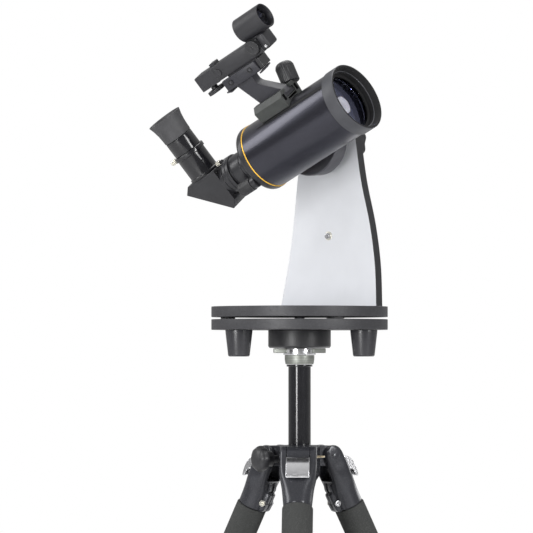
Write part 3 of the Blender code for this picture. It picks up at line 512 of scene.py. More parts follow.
def between(rows, steps):
    """Rows of numbers with more rows read from a smooth curve through them."""
    made = []
    for i in range(len(rows) - 1):
        before, here = rows[max(i - 1, 0)], rows[i]
        after, beyond = rows[i + 1], rows[min(i + 2, len(rows) - 1)]
        for k in range(steps):
            t = k / steps
            made.append(tuple(
                0.5 * (2 * b + (c - a) * t + (2 * a - 5 * b + 4 * c - d) * t * t
                       + (3 * b - a - 3 * c + d) * t ** 3)
                for a, b, c, d in zip(before, here, after, beyond)
            ))
    made.append(tuple(rows[-1]))
    return made


def socket_screw(name, radius, height, at, body, finish="steel"):
    """A cap screw's head standing on the frame's XY plane, with a hexagon socket."""
    head = rod(name, radius, 0, height, at, body, finish, soften=radius * 0.12, steps=48)
    hole = cutter(plate_mesh("hexagon", hexagon(radius * 0.56), height * 1.3), inside(at, (0, 0, height)))
    return carve(head, [hole])


def thumbscrew(name, radius, length, neck, at, body, tip=False):
    """A small knurled screw along the frame's Z: a neck up to the height neck, then the head."""
    profile = [
        (0, neck + length), (radius, neck + length), (radius, neck), (radius * 0.52, neck),
        (radius * 0.52, 0), (0, 0),
    ]
    knurl = flutes(22, radius * 0.08, radius * 0.8, neck, neck + length)
    turned(name, profile, at, body, "nickel", soften=radius * 0.12, steps=176, wave=knurl)
    if tip:
        rod(name + "_tip", radius * 0.62, -0.0002, neck + 0.0001, at, body, "black_steel", steps=32)


def dress(node, slot_name):
    """Gives a CAD node that stays in view, or hidden inside, its material."""
    mesh = frame["nodes"][node].data
    mesh.materials.clear()
    mesh.materials.append(MATERIALS[slot_name])


# ---- tripod
LUG_TIP = 0.0118
HINGE_RADIUS = 0.036
CROWN_TOP = 0.0124


def build_crown():
    barrel = [
        (0.0225, CROWN_TOP), (0.024, CROWN_TOP - 0.0015), (0.024, -0.0215), (0.0185, -0.03),
        (0.0133, -0.03), (0.0133, CROWN_TOP),
    ]
    crown = turned("crown_barrel", barrel, COLUMN, "tripod", "casting_paint", ["tripod_crown"], 0.0006, 144)
    knob = joint_frame("column_clamp_turn")
    carve(crown, [cutting_rod(0.0045, 0.01, 0.04, knob)])
    side_view = [(0.015, CROWN_TOP - 0.0006), (HINGE_RADIUS, LUG_TIP)]
    side_view += arc((HINGE_RADIUS, 0), LUG_TIP, 78, -90, 17)
    side_view += [(0.015, -LUG_TIP)]
    for name in LEGS:
        pin = axis(name + "_leg_spread")
        outward = pin.cross(UP)
        lug = frame_at(COLUMN.translation, outward, UP)
        plate(name + "_crown_lug", side_view, 0.0268, lug, "tripod", "casting_paint", bevel=0.0009)
        web = [(0.019, -LUG_TIP), (0.032, -LUG_TIP), (0.0225, -0.0235), (0.019, -0.0235)]
        plate(name + "_crown_web", softened(web, 0.0012), 0.005, lug, "tripod", "casting_paint",
              bevel=0.0006)


def build_hinge_pin(name):
    """Hinge pin with a slender ribbed end on one side and a painted cap over its other end."""
    tail = -1 if name == "left" else 1
    pin = axle(spot(name + "_leg_spread"), axis(name + "_leg_spread") * tail, UP)
    profile = [(0, 0.0305), (0.001, 0.0305)]
    for i in range(14):
        z = 0.03 - i * 0.0006
        profile += [(0.0011, z), (0.0014, z - 0.0003)]
    profile += [(0.0014, 0.0216), (0.0026, 0.0216), (0.0026, -0.0215), (0, -0.0215)]
    turned(name + "_hinge_pin", profile, pin, "tripod", "brass", [name + "_leg_hinge_pin"], 0, 32)
    cap = [(0, -0.0213), (0.0034, -0.0213), (0.0032, -0.0219), (0, -0.0221)]
    turned(name + "_hinge_cap", cap, pin, "tripod", "casting_paint", soften=0.0002, steps=48)


CASTING_SECTIONS = (          # along the leg, half depth, half width, squareness
    (-0.065, 0.0158, 0.016, 2.0), (-0.063, 0.0164, 0.0165, 2.0), (-0.052, 0.0162, 0.0175, 2.1),
    (-0.04, 0.0158, 0.0188, 2.5), (-0.024, 0.0138, 0.0214, 4.0), (-0.008, 0.0126, 0.0214, 6.0),
    (0, 0.0124, 0.0214, 6.0), (0.006, 0.0108, 0.0214, 6.0), (0.01, 0.0075, 0.0212, 6.0),
    (0.012, 0.0034, 0.0209, 6.0),
)


def build_casting(name, leg):
    rings = [superellipse(x, y, power, z) for z, x, y, power in between(CASTING_SECTIONS, 4)]
    body = name + "_leg"
    casting = piece(name + "_casting", loft_mesh("casting", rings), leg, body, "casting_paint",
                    [name + "_leg_casting"])
    ears = cutting_block((0.011, 0.015, 0.024), inside(leg, (-0.015, 0, -0.052)))
    round_edges(ears, 0.003)
    carve(casting, [cutting_block((0.06, 0.0275, 0.07), inside(leg, (0, 0, 0.008)))])
    carve(casting, [
        cutting_block((0.016, 0.0016, 0.036), inside(leg, (-0.016, 0, -0.05))),
        cutting_rod(0.0143, -0.07, -0.033, leg),
    ], [ears])
    brace = [
        (-0.0125, -0.027), (-0.016, -0.03), (-0.0178, -0.037), (-0.0166, -0.043), (-0.0184, -0.048),
        (-0.0212, -0.054), (-0.0206, -0.062), (-0.018, -0.065), (-0.0125, -0.065),
    ]
    upright = side_view_of(leg)
    for side, label in ((-1, "left"), (1, "right")):
        cheek = inside(upright, (0, 0, side * 0.0046))
        plate("%s_brace_%s" % (name, label), softened(brace, 0.003), 0.0048, cheek, body, "casting_paint",
              bevel=0.001)
    across = leg.to_3x3().col[1]
    near, far = [axle(leg @ Vector((-0.0165, side * 0.0075, -0.054)), across * side) for side in (-1, 1)]
    socket_screw(name + "_clamp_screw", 0.0036, 0.003, near, body)
    plate(name + "_clamp_nut", hexagon(0.004), 0.0028, inside(far, (0, 0, 0.0014)), body,
          "nickel", bevel=0.0003)
    rod(name + "_clamp_end", 0.0017, 0.002, 0.0052, far, body, "nickel", steps=24)


LATCH_SIDE_VIEW = (           # outward, along the leg
    (0.0126, -0.0095), (0.0142, -0.0072), (0.0168, -0.0085), (0.02, -0.0125), (0.0221, -0.019),
    (0.0224, -0.027), (0.0212, -0.034), (0.0198, -0.036), (0.0184, -0.0345), (0.0176, -0.03),
    (0.0168, -0.025), (0.012, -0.0222), (0.0058, -0.0205), (0.0048, -0.0178), (0.0058, -0.0152),
    (0.0115, -0.0148),
)


def build_latch(name, leg):
    side = side_view_of(leg)
    outline = between([*LATCH_SIDE_VIEW, LATCH_SIDE_VIEW[0]], 4)[:-1]
    plate(name + "_latch", outline, 0.0268, side, name + "_latch", "chrome", [name + "_leg_latch"], 0.0007)


CASTING_BOTTOM = -0.065
GRIP_LENGTH = 0.2
LOCK_TOP = -0.497
LOCK_BOTTOM = -0.533
LEG_LENGTH = 0.56


def build_leg_tubes(name, leg):
    body = name + "_leg"
    top = CASTING_BOTTOM - GAP
    low = top - GRIP_LENGTH
    grip = sleeve(name + "_grip", 0.0178, 0.0143, top, low, leg, body, "foam", [name + "_leg_grip"],
                  bend=(0.003,))
    upper_low = LOCK_BOTTOM + 0.01
    sleeve(name + "_upper_tube", 0.014, 0.0123, -0.0335, upper_low, leg, body, "gloss_black",
           [name + "_leg_upper_tube"])
    sleeve(name + "_grip_collar", 0.0166, 0.0142, low - 0.0004, low - 0.006, leg, body, "black_plastic")
    lock = [
        (0.0165, LOCK_TOP), (0.0175, LOCK_TOP - 0.002), (0.0175, LOCK_TOP - 0.005),
        (0.0175, LOCK_BOTTOM + 0.008), (0.0175, LOCK_BOTTOM + 0.004), (0.0155, LOCK_BOTTOM),
        (0.0123, LOCK_BOTTOM), (0.0123, upper_low - GAP), (0.0143, upper_low - GAP), (0.0143, LOCK_TOP),
    ]
    turned(name + "_twist_lock", lock, leg, name + "_lock", "black_plastic", [name + "_leg_twist_lock"],
           0.0006, 240, flutes(20, 0.0007, 0.0172, LOCK_BOTTOM + 0.006, LOCK_TOP - 0.003))
    floor_of_socket = -LEG_LENGTH + 0.006
    sleeve(name + "_lower_tube", 0.012, 0.0108, -0.075, floor_of_socket + GAP, leg, name + "_section",
           "gloss_black", [name + "_leg_lower_tube"])
    skirt = LOCK_BOTTOM - 0.0006
    foot = [(0, floor_of_socket), (0.0123, floor_of_socket), (0.0123, skirt), (0.0148, skirt)]
    for i in range(3):
        z = skirt - 0.003 - i * 0.0036
        foot += [(0.0148, z), (0.0141, z - 0.0005), (0.0141, z - 0.0011), (0.0148, z - 0.0016)]
    foot += arc((0, -LEG_LENGTH), 0.015, 20, -90, 12)
    shoe = turned(name + "_foot", foot, leg, name + "_section", "rubber", [name + "_leg_foot"], 0.0003)
    centre = leg @ Vector((0, 0, -LEG_LENGTH))
    carve(shoe, [cutting_block((0.1, 0.1, 0.1), Matrix.Translation((centre.x, centre.y, -0.05)))])


def build_column_knob():
    knob = joint_frame("column_clamp_turn")
    profile = [
        (0, 0.0602), (0.0062, 0.0599, 0.02), (0.0112, 0.0585, 0.01), (0.0142, 0.0556, 0.01),
        (0.0151, 0.0515, 0.01), (0.0144, 0.0474, 0.0025), (0.009, 0.047), (0.009, 0.038), (0.0042, 0.038),
        (0.0042, 0.0165), (0, 0.0165),
    ]
    turned("column_knob", profile, knob, "column_clamp", "black_plastic", ["column_lock_knob"], 0.0005, 192,
           lobes(8, 0.0004, 0.012))


def build_tripod():
    build_crown()
    build_column_knob()
    for name in LEGS:
        leg = leg_frame(name)
        build_hinge_pin(name)
        build_casting(name, leg)
        build_latch(name, leg)
        build_leg_tubes(name, leg)


# ---- column, head and turntable
COLUMN_RADIUS = 0.013
WASHER_BOTTOM = 0.1034
COLUMN_LENGTH = 0.3
COLLAR_BOTTOM = WASHER_BOTTOM + 0.0026
PLATE_BOTTOM = COLLAR_BOTTOM + 0.011
HUB_BOTTOM = PLATE_BOTTOM + 0.008


def build_column():
    low = WASHER_BOTTOM - COLUMN_LENGTH
    profile = [
        (0.015, COLLAR_BOTTOM - GAP), (0.015, WASHER_BOTTOM), (COLUMN_RADIUS, WASHER_BOTTOM),
        (COLUMN_RADIUS, low), (0.0115, low), (0.0115, COLLAR_BOTTOM - GAP),
    ]
    turned("column", profile, COLUMN, "column", "gloss_black", ["column_tube"], 0.0004, 128)
    cap = [(0, low - 0.002), (0.006, low - 0.002), (0.0118, low - 0.0005), (0.0113, low + 0.006),
           (0, low + 0.006)]
    turned("column_end_cap", list(reversed(cap)), COLUMN, "column", "black_plastic", soften=0.0005,
           steps=64)


def build_head():
    collar = [
        (0.0172, PLATE_BOTTOM - GAP), (0.0172, PLATE_BOTTOM - 0.005), (0.0163, COLLAR_BOTTOM + 0.0006),
        (0.0157, COLLAR_BOTTOM), (0.0035, COLLAR_BOTTOM), (0.0035, PLATE_BOTTOM - GAP),
    ]
    turned("collar", collar, COLUMN, "column", "collar_metal", ["head_collar"], 0.0004, 128)
    top = HUB_BOTTOM - GAP
    plate_profile = [
        (0, HUB_BOTTOM + 0.008), (0.0031, HUB_BOTTOM + 0.008), (0.0031, top), (0.0187, top),
        (0.0187, PLATE_BOTTOM), (0, PLATE_BOTTOM),
    ]
    turned("camera_plate", plate_profile, COLUMN, "column", "chrome", ["head_plate"], 0.0005, 128)
    height = 0.0055
    wing = [(0.015, -0.012), (0.0303, -0.0105), (0.0303, 0.0105), (0.015, 0.012)]
    for side, label in ((-1, "left"), (1, "right")):
        outline = softened([(side * x, y) for x, y in wing], 0.002)
        if side < 0:
            outline.reverse()
        at = inside(COLUMN, (0, 0, top - 0.0001 - height / 2))
        plate("plate_wing_" + label, outline, height, at, "column", "collar_metal", bevel=0.0008)


def face_with_laminate(disc):
    """Gives a disc's upward face the side board's laminate; its edge and underside stay black."""
    disc.data.materials.append(MATERIALS["side_laminate"])
    for face in disc.data.polygons:
        face.material_index = 1 if face.normal.z > 0.9 and face.center.xy.length > 0.015 else 0


def darken_bore(obj, radius):
    """Gives the faces nearer the axis than radius the baffles' black."""
    obj.data.materials.append(EXTRA["baffle_black_and_shade"])
    for face in obj.data.polygons:
        face.material_index = 1 if face.center.xy.length < radius else 0


def under_disc(azimuth):
    """The place of a foot or pad on its circle about the column."""
    turn = radians(azimuth)
    return inside(COLUMN, (FOOT_CIRCLE * cos(turn), FOOT_CIRCLE * sin(turn), 0))


def build_base():
    hub_radius = 0.0363
    hub = [
        (hub_radius, LOWER_DISC_BOTTOM - GAP, 0.0008), (hub_radius, HUB_BOTTOM + 0.002, 0.0012),
        (hub_radius - 0.0015, HUB_BOTTOM), (0.0035, HUB_BOTTOM), (0.0035, HUB_BOTTOM + 0.01),
        (0.0063, HUB_BOTTOM + 0.01), (0.0063, LOWER_DISC_BOTTOM - GAP),
    ]
    turned("hub", hub, COLUMN, "column", "black_plastic", ["tripod_hub"], 0.0004, 144)
    lower = sleeve("lower_disc", DISC_RADIUS, 0.0063, LOWER_DISC_TOP, LOWER_DISC_BOTTOM, COLUMN, "column",
                   "disc_board", ["base_disc_lower"], 0.0007, 256)
    face_with_laminate(lower)
    foot_low = LOWER_DISC_BOTTOM - 0.031
    foot = [
        (0, LOWER_DISC_BOTTOM - GAP), (0.0157, LOWER_DISC_BOTTOM - GAP),
        (0.0154, LOWER_DISC_BOTTOM - 0.004), (0.0124, foot_low + 0.0012, 0.0015), (0.0112, foot_low),
        (0.006, foot_low), (0.0055, foot_low + 0.004), (0, foot_low + 0.004),
    ]
    for number, azimuth in enumerate((-147, -27, 93), 1):
        made = turned("mount_foot_%d" % number, foot, under_disc(azimuth), "column", "rubber",
                      ["base_foot_%d" % number], 0.0006)
        made.data.materials[0] = EXTRA["moulded"]
    for number, azimuth in enumerate((181, -59, 61), 1):
        rod("pad_%d" % number, 0.0085, LOWER_DISC_TOP + GAP, LOWER_DISC_TOP + DISC_GAP - GAP,
            under_disc(azimuth), "column", "pad_plastic", ["glide_pad_%d" % number], 0.0003)


BOARD_SIDE_RIGHT = ((0.07, 0), (0.068, 0.048), (0.0607, 0.095), (0.048, 0.146), (0.04, 0.193))
BOARD_SIDE_LEFT = ((-0.04, 0.193), (-0.0462, 0.15), (-0.0512, 0.106), (-0.0578, 0.062), (-0.0712, 0))
BOARD_TOP = 0.2344


def board_outline():
    """Waisted sides, a round top and square lower corners."""
    right = between(BOARD_SIDE_RIGHT, 10)
    left = between(BOARD_SIDE_LEFT, 10)
    crest = []
    for i in range(1, 40):
        angle = pi * i / 40
        crest.append((0.04 * cos(angle), 0.193 + (BOARD_TOP - 0.193) * sin(angle)))
    return [*right, *crest, *left]


def build_turntable():
    sink, head = 0.005, 0.011
    disc = [
        (DISC_RADIUS, 0), (DISC_RADIUS, -DISC_THICKNESS), (0.0063, -DISC_THICKNESS), (0.0063, -sink),
        (head + GAP, -sink), (head + GAP, 0),
    ]
    upper = turned("upper_disc", disc, TURNTABLE, "turntable", "disc_board", ["base_disc_upper"], 0.0007,
                   256)
    face_with_laminate(upper)
    depth = TURNTABLE.translation.z - HINGE_HEIGHT - HUB_BOTTOM - 0.0105
    bolt = [(0, -0.0008), (head, -0.0008), (head, GAP - sink), (0.006, GAP - sink), (0.006, -depth),
            (0, -depth)]
    centre = turned("centre_bolt", bolt, TURNTABLE, "turntable", "hub_metal", ["azimuth_bolt"], 0.0005, 64)
    carve(centre, [cutter(plate_mesh("hexagon", hexagon(0.0046), 0.005), TURNTABLE)])

    middle = BOARD_OFFSET + BOARD_THICKNESS / 2
    across = TURNTABLE.to_3x3().col[0]
    board_frame = frame_at(inside(TURNTABLE, (0, middle, GAP)).translation, across, UP)
    board = plate("board", board_outline(), BOARD_THICKNESS, board_frame, "turntable", "side_laminate",
                  ["side_board"], 0)
    board.data.materials.append(EXTRA["edge_band"])
    for face in board.data.polygons:
        face.material_index = 0 if abs(face.normal.z) > 0.5 else 1
    round_edges(board, 0.0005, 60)
    bolt_radius = 0.0036
    for name, side in (("board_bolt", 1), ("board_nut_cap", -1)):
        face = inside(board_frame, (0, 0.083, side * BOARD_THICKNESS / 2), (0, 0, side), (1, 0, 0))
        rod(name + "_washer", bolt_radius * 1.45, -0.0002, 0.0008, face, "turntable", "nickel",
            soften=0.0002)
        socket_screw(name, bolt_radius, 0.0026, inside(face, (0, 0, 0.0008)), "turntable", "steel")


def build_altitude_bearing():
    hub_frame = axle(ALTITUDE.translation, ALTITUDE_AXIS, FORWARD)
    face = TUBE_OFFSET + BOARD_OFFSET
    rear = face + BOARD_THICKNESS
    profile = [
        (0, rear + 0.03), (0.0047, rear + 0.03), (0.0047, face - GAP), (0.024, face - GAP), (0.024, 0.064),
        (0.0396, 0.064), (0.0408, 0.0628), (0.042, 0.044), (0.041, 0.0425), (0, 0.0425),
    ]
    hub = turned("bearing_hub", profile, hub_frame, "telescope", "hub_metal", ["altitude_hub"], 0.0006, 192)
    saddle = cutting_block((0.06, 0.013, 0.038), inside(ALTITUDE, (0, 0.037, -AXIS_BELOW_PIVOT)))
    around = cutting_rod(TUBE_RADIUS + GAP, -0.2, 0.1, OPTICS, 128)
    carve(hub, [around], [saddle])
    knob_frame = axle(spot("altitude_clamp_turn"), ALTITUDE_AXIS, FORWARD)
    knob = [
        (0, 0.0368), (0.0105, 0.0368), (0.0115, 0.038), (0.0185, 0.038, 0.003), (0.0185, 0.014, 0.002),
        (0.012, 0.014), (0.012, GAP), (0.005, GAP), (0.005, 0.0303), (0, 0.0303),
    ]
    turned("tension_knob", knob, knob_frame, "altitude_clamp", "black_plastic", ["altitude_knob"], 0.0006,
           216, lobes(6, 0.0015, 0.013))
    rod("tension_knob_cap", 0.0098, 0.0366, 0.0377, knob_frame, "altitude_clamp", "black_steel")


# ---- telescope
def build_front():
    ring = [
        (0.0404, 0), (0.041, -0.0008), (0.041, -0.0165), (TUBE_RADIUS + GAP, -0.0165),
        (TUBE_RADIUS + GAP, -0.0077), (TUBE_BORE, -0.0077), (TUBE_BORE, -0.025), (0.0315, -0.025),
        (0.0315, -0.023), (0.0333, -0.023), (0.0333, -0.0142), (0.0352, -0.0138), (0.0356, -0.0078),
        (0.0364, -0.0072), (0.0385, 0),
    ]
    cell = turned("front_cell", ring, OPTICS, "telescope", "ring_paint", ["front_ring"], 0.0003, 192)
    darken_bore(cell, 0.0404)
    step = [(0.0364, -0.007), (0.0364, -0.0076), (0.0355, -0.008), (0.0355, -0.0074)]
    turned("mouth_step", step, OPTICS, "telescope", "ring_paint", soften=0.0001, steps=160)
    lip = [(0.0352, -0.0138), (0.0352, -0.0148), (0.0326, -0.0154), (0.0326, -0.0144)]
    turned("retaining_ring", lip, OPTICS, "telescope", "baffle_black_and_shade", soften=0.0001, steps=160)
    sleeve("ring_groove", 0.0402, 0.0396, -0.0165, -0.0173, OPTICS, "telescope", "baffle_black_and_shade", (),
           0.0001, 192)
    radius, sag = 0.033, 0.0022
    count = 12
    front = [(radius * i / count, -LENS_FRONT - sag * (1 - (i / count) ** 2)) for i in range(count + 1)]
    rear = [(r, z - 0.0062) for r, z in reversed(front)]
    turned("lens", front + rear, OPTICS, "telescope", "lens_glass", ["corrector_lens"], 0, 160)
    spot_radius, behind = 0.0108, 0.0003
    disc = []
    for i in range(7):
        r = spot_radius * i / 6
        disc.append((r, -LENS_FRONT - sag * (1 - (r / radius) ** 2) - 0.0062 - behind))
    mirror = disc + [(spot_radius, disc[-1][1] - 0.0006), (0, disc[0][1] - 0.0006)]
    turned("secondary_spot", mirror, OPTICS, "telescope", "silvering", soften=0, steps=96)
    edge = disc[-1][1]
    sleeve("secondary_rim", spot_radius + 0.0008, spot_radius + 0.0001, edge, edge - 0.0006, OPTICS,
           "telescope", "brown_rim", soften=0)


def build_tube():
    outer, inner = TUBE_RADIUS, TUBE_RADIUS - 0.002
    tube = sleeve("tube", outer, inner, -0.008, -TUBE_REAR, OPTICS, "telescope", "tube_paint",
                  ["main_tube"], 0.0003, 256)
    darken_bore(tube, (outer + inner) / 2)
    sleeve("accent_ring", 0.0402, 0.039, -0.1468, -0.1481, OPTICS, "telescope", "gold", (), 0.0002, 256)
    build_tube_strip()


def build_tube_strip():
    """The thin black wedge along the tube, widest at the front ring and pointed at the rear."""
    roll, start, end, half_width = radians(61), 0.017, 0.1226, 0.0022
    shape = bmesh.new()
    rows = []
    for i in range(25):
        s = start + (end - start) * i / 24
        half = half_width * (1 - (i / 24) ** 2.2) + 0.0002
        row = []
        for k in range(5):
            angle = half / TUBE_RADIUS * (k - 2) / 2
            for r in (TUBE_RADIUS - 0.0003, TUBE_RADIUS + 0.0004):
                row.append(shape.verts.new((r * sin(angle), r * cos(angle), -s)))
        rows.append(row)
    order = [0, 2, 4, 6, 8, 9, 7, 5, 3, 1]
    loops = [[row[k] for k in order] for row in rows]
    for low, high in zip(loops, loops[1:]):
        for i in range(len(order)):
            j = (i + 1) % len(order)
            shape.faces.new((low[i], low[j], high[j], high[i]))
    shape.faces.new(loops[0])
    shape.faces.new(loops[-1])
    toward_viewer = -ALTITUDE_AXIS
    upward = ALTITUDE.to_3x3().col[2]
    outward = upward * cos(roll) + toward_viewer * sin(roll)
    at = frame_at(OPTICS.translation, outward.cross(FORWARD), outward)
    piece("tube_strip", finished(shape, "tube_strip", 40), at, "telescope", "baffle_black_and_shade")


def build_rear():
    cell = [
        (TUBE_BORE, -0.142), (TUBE_BORE, -0.1484), (0.0404, -0.1484), (0.0404, -0.154),
        (0.0396, -0.1562), (0.0384, -BACK_FACE), (0.03, -BACK_FACE), (0.0296, -BACK_FACE + 0.0006),
        (0.028, -BACK_FACE + 0.0006), (0.0276, -BACK_FACE), (0.0095, -BACK_FACE), (0.0095, -0.075),
        (0.011, -0.075), (0.011, -0.15), (0.034, -0.15), (0.034, -0.142),
    ]
    turned("back_cell", cell, OPTICS, "telescope", "black_metal", ["rear_cell"], 0.0004, 192)
    for number in range(3):
        angle = radians(30 + 120 * number)
        at = inside(OPTICS, (0.0345 * cos(angle), 0.0345 * sin(angle), -BACK_FACE), (0, 0, -1), (1, 0, 0))
        socket_screw("back_screw_%d" % (number + 1), 0.002, 0.0008, at, "telescope", "black_steel")
    back = [
        (0.021, -BACK_FACE - GAP), (0.021, -0.1712), (0.0202, -0.1716), (0.0202, -0.1728), (0.021, -0.1732),
        (0.021, -0.186), (0.02, -0.186), (0.02, -0.189), (0.023, -0.189), (0.023, -0.1926),
        (0.0224, -0.193), (0.0224, -0.1938), (0.023, -0.1942), (0.023, -BACK_END), (0.016, -BACK_END),
        (0.016, -BACK_FACE - GAP),
    ]
    turned("back_tube", back, OPTICS, "telescope", "black_metal", ["visual_back"], 0.0004, 160)
    clamp = inside(ROLLED, (-0.1975, -0.004, 0.0226), (-1, 0, 0), (0, 0, 1))
    thumbscrew("nose_screw", 0.0031, 0.006, 0.0036, clamp, "telescope", True)


def build_focus_knob():
    knob = joint_frame("focus_turn")
    profile = [
        (0, 0.0236), (0.005, 0.0236), (0.0056, 0.024), (0.0083, 0.024, 0.0012), (0.0083, 0.006, 0.0008),
        (0.0036, 0.006), (0.0036, GAP), (0, GAP),
    ]
    turned("focuser", profile, knob, "focus_wheel", "black_plastic", ["focus_knob"], 0.0004, 280,
           flutes(28, 0.0005, 0.0078, 0.007, 0.0232))
    base = axle(spot("focus_turn") - axis("focus_turn") * 0.0008, axis("focus_turn"))
    sleeve("focus_collar", 0.0076, 0.004, 0.0062, 0.0004, base, "telescope", "black_metal")


def build_diagonal():
    top = DIAGONAL_HALF
    rear = -DIAGONAL_FRONT - DIAGONAL_SIDE
    chamfer = 0.0082
    section = [
        (-DIAGONAL_FRONT, top), (rear, top, 0.001), (rear - chamfer, top - chamfer),
        (-DIAGONAL_FRONT - chamfer, top - DIAGONAL_SIDE - chamfer),
        (-DIAGONAL_FRONT, top - DIAGONAL_SIDE, 0.001),
    ]
    side_frame = side_view_of(ROLLED)
    housing = plate("diagonal_housing", softened(section, 0.0006), DIAGONAL_THICKNESS, side_frame,
                    "diagonal", "black_metal", ["prism_housing"], 0.0009)
    nose_frame = inside(ROLLED, (-DIAGONAL_FRONT, 0, 0), (1, 0, 0), (0, 0, 1))
    carve(housing, [
        cutting_rod(0.0136, -0.01, 0.01, nose_frame),
        cutting_rod(0.0136, -0.01, 0.01, inside(EYEPIECE, (0, 0, top))),
    ])
    barrel = [
        (0.0156, 0.038), (0.0156, 0.0097), (0.018, 0.0097), (0.018, 0.0062), (0.0172, 0.0058),
        (0.0172, 0.0048), (0.018, 0.0044), (0.018, -0.0005), (0.0136, -0.0005), (0.0136, 0.038),
    ]
    turned("diagonal_nose", barrel, nose_frame, "diagonal", "black_metal", soften=0.0004, steps=128)
    dress("diagonal_prism", "prism_glass")


def build_eyepiece():
    base = DIAGONAL_HALF + GAP
    holder = [
        (0.0192, 0.0548), (0.0197, 0.0543), (0.0197, 0.05), (0.018, 0.0493), (0.018, base + 0.003),
        (0.0194, base + 0.0024), (0.0194, base), (0.0161, base), (0.0161, 0.0548),
    ]
    turned("draw_holder", holder, EYEPIECE, "diagonal", "gloss_black", ["eyepiece_holder"], 0.0003, 128)
    body = [
        (0.015, 0.08), (0.015, 0.0745), (0.0172, 0.0742), (0.0172, 0.0551), (0.0158, 0.0551),
        (0.0158, 0.029), (0.014, 0.029), (0.014, 0.065), (0.0095, 0.069), (0.0095, 0.08),
    ]
    turned("eyepiece_barrel", body, EYEPIECE, "eyepiece", "gloss_black", ["eyepiece_body"], 0.0005, 128)
    cup = [
        (0.0216, 0.102, 0.0005), (0.0196, 0.095, 0.02), (0.0184, 0.088, 0.03), (0.0178, 0.081, 0.03),
        (0.0176, 0.0748), (0.0153, 0.0748), (0.0153, 0.0803), (0.0162, 0.088, 0.03), (0.0178, 0.095, 0.02),
        (0.0202, 0.102, 0.0005),
    ]
    turned("rubber_eyecup", cup, EYEPIECE, "eyepiece", "rubber", ["eyecup"], 0.0005, 144)
    eye_lens = [(0, 0.079), (0.0092, 0.077), (0.0092, 0.074), (0, 0.074)]
    turned("eye_lens", eye_lens, EYEPIECE, "eyepiece", "lens_glass", soften=0, steps=64)
    grip = inside(EYEPIECE, (-0.0188, -0.002, 0.052), (-1, -0.1, 0), (0, 0, 1))
    thumbscrew("eyepiece_screw", 0.0034, 0.0062, 0.0026, grip, "diagonal")


# ---- finder
def build_shoe():
    hug = TUBE_RADIUS + GAP
    front, rear = 0.068, 0.1115
    edge = degrees(atan2(0.0197, sqrt(hug ** 2 - 0.0197 ** 2)))
    right_half = [(0.008, 0.0554), (0.0166, 0.0554), (0.0235, 0.049), (0.0212, 0.036)]
    slot_half = [(0.008, 0.051), (0.0125, 0.051), (0.0125, 0.044)]
    section = right_half + arc((0, 0), hug, 90 - edge, 90 + edge, 25)
    section += [(-h, g) for h, g in reversed(right_half)]
    section += [(-h, g) for h, g in slot_half] + list(reversed(slot_half))
    across, up = ROLLED.to_3x3().col[1], ROLLED.to_3x3().col[2]
    middle = inside(ROLLED, (-(front + rear) / 2, 0, 0)).translation
    at = frame_at(middle, across, up)
    shoe = plate("dovetail_shoe", section, rear - front, at, "telescope", "black_metal", ["finder_shoe"], 0)
    hollows = []
    for across_face, low, high in ((0, 0.0405, 0.0432), (0.0168, 0.0425, 0.0505),
                                   (-0.0168, 0.0425, 0.0505)):
        width = 0.022 if across_face == 0 else 0.0052
        where = inside(ROLLED, (-front, across_face, (low + high) / 2))
        hollows.append(cutting_block((0.016, width, high - low), where))
    carve(shoe, hollows)
    round_edges(shoe, 0.0004, 40)
    shoe.data.materials.append(EXTRA["shoe_paint"])
    shoe.data.materials.append(EXTRA["baffle_black_and_shade"])
    # Faces inside the front hollows, up to 9 mm behind the front face, are painted near-black: painted shade
    # in the hollows. The other faces take the shoe's paint.
    for face in shoe.data.polygons:
        place = at @ face.center
        ahead = (place - ROLLED.translation).dot(FORWARD)
        hidden = -front - 0.009 < ahead < -front - 0.0002 and abs(face.center.x) < 0.0205
        face.material_index = 2 if hidden else 1
    knob = joint_frame("shoe_clamp_turn", FORWARD)
    rod("clamp_boss", 0.0042, -0.012, -GAP, knob, "telescope", "black_metal")
    profile = [
        (0, 0.0222), (0.004, 0.022), (0.0078, 0.0209), (0.01, 0.0189), (0.0112, 0.016, 0.001),
        (0.0112, -0.0034), (0.0104, -0.0042), (0.005, -0.0042), (0.005, GAP), (0, GAP),
    ]
    turned("clamp_knob", between_profile(profile), knob, "shoe_clamp", "black_plastic", ["shoe_knob"],
           0.0003, 256, flutes(26, 0.0008, 0.0098, -0.003, 0.0186))


def between_profile(profile):
    """The profile with its dome points read from a smooth curve."""
    dome = between([point[:2] for point in profile[:4]], 4)
    return dome + [point[:2] for point in profile[4:]]


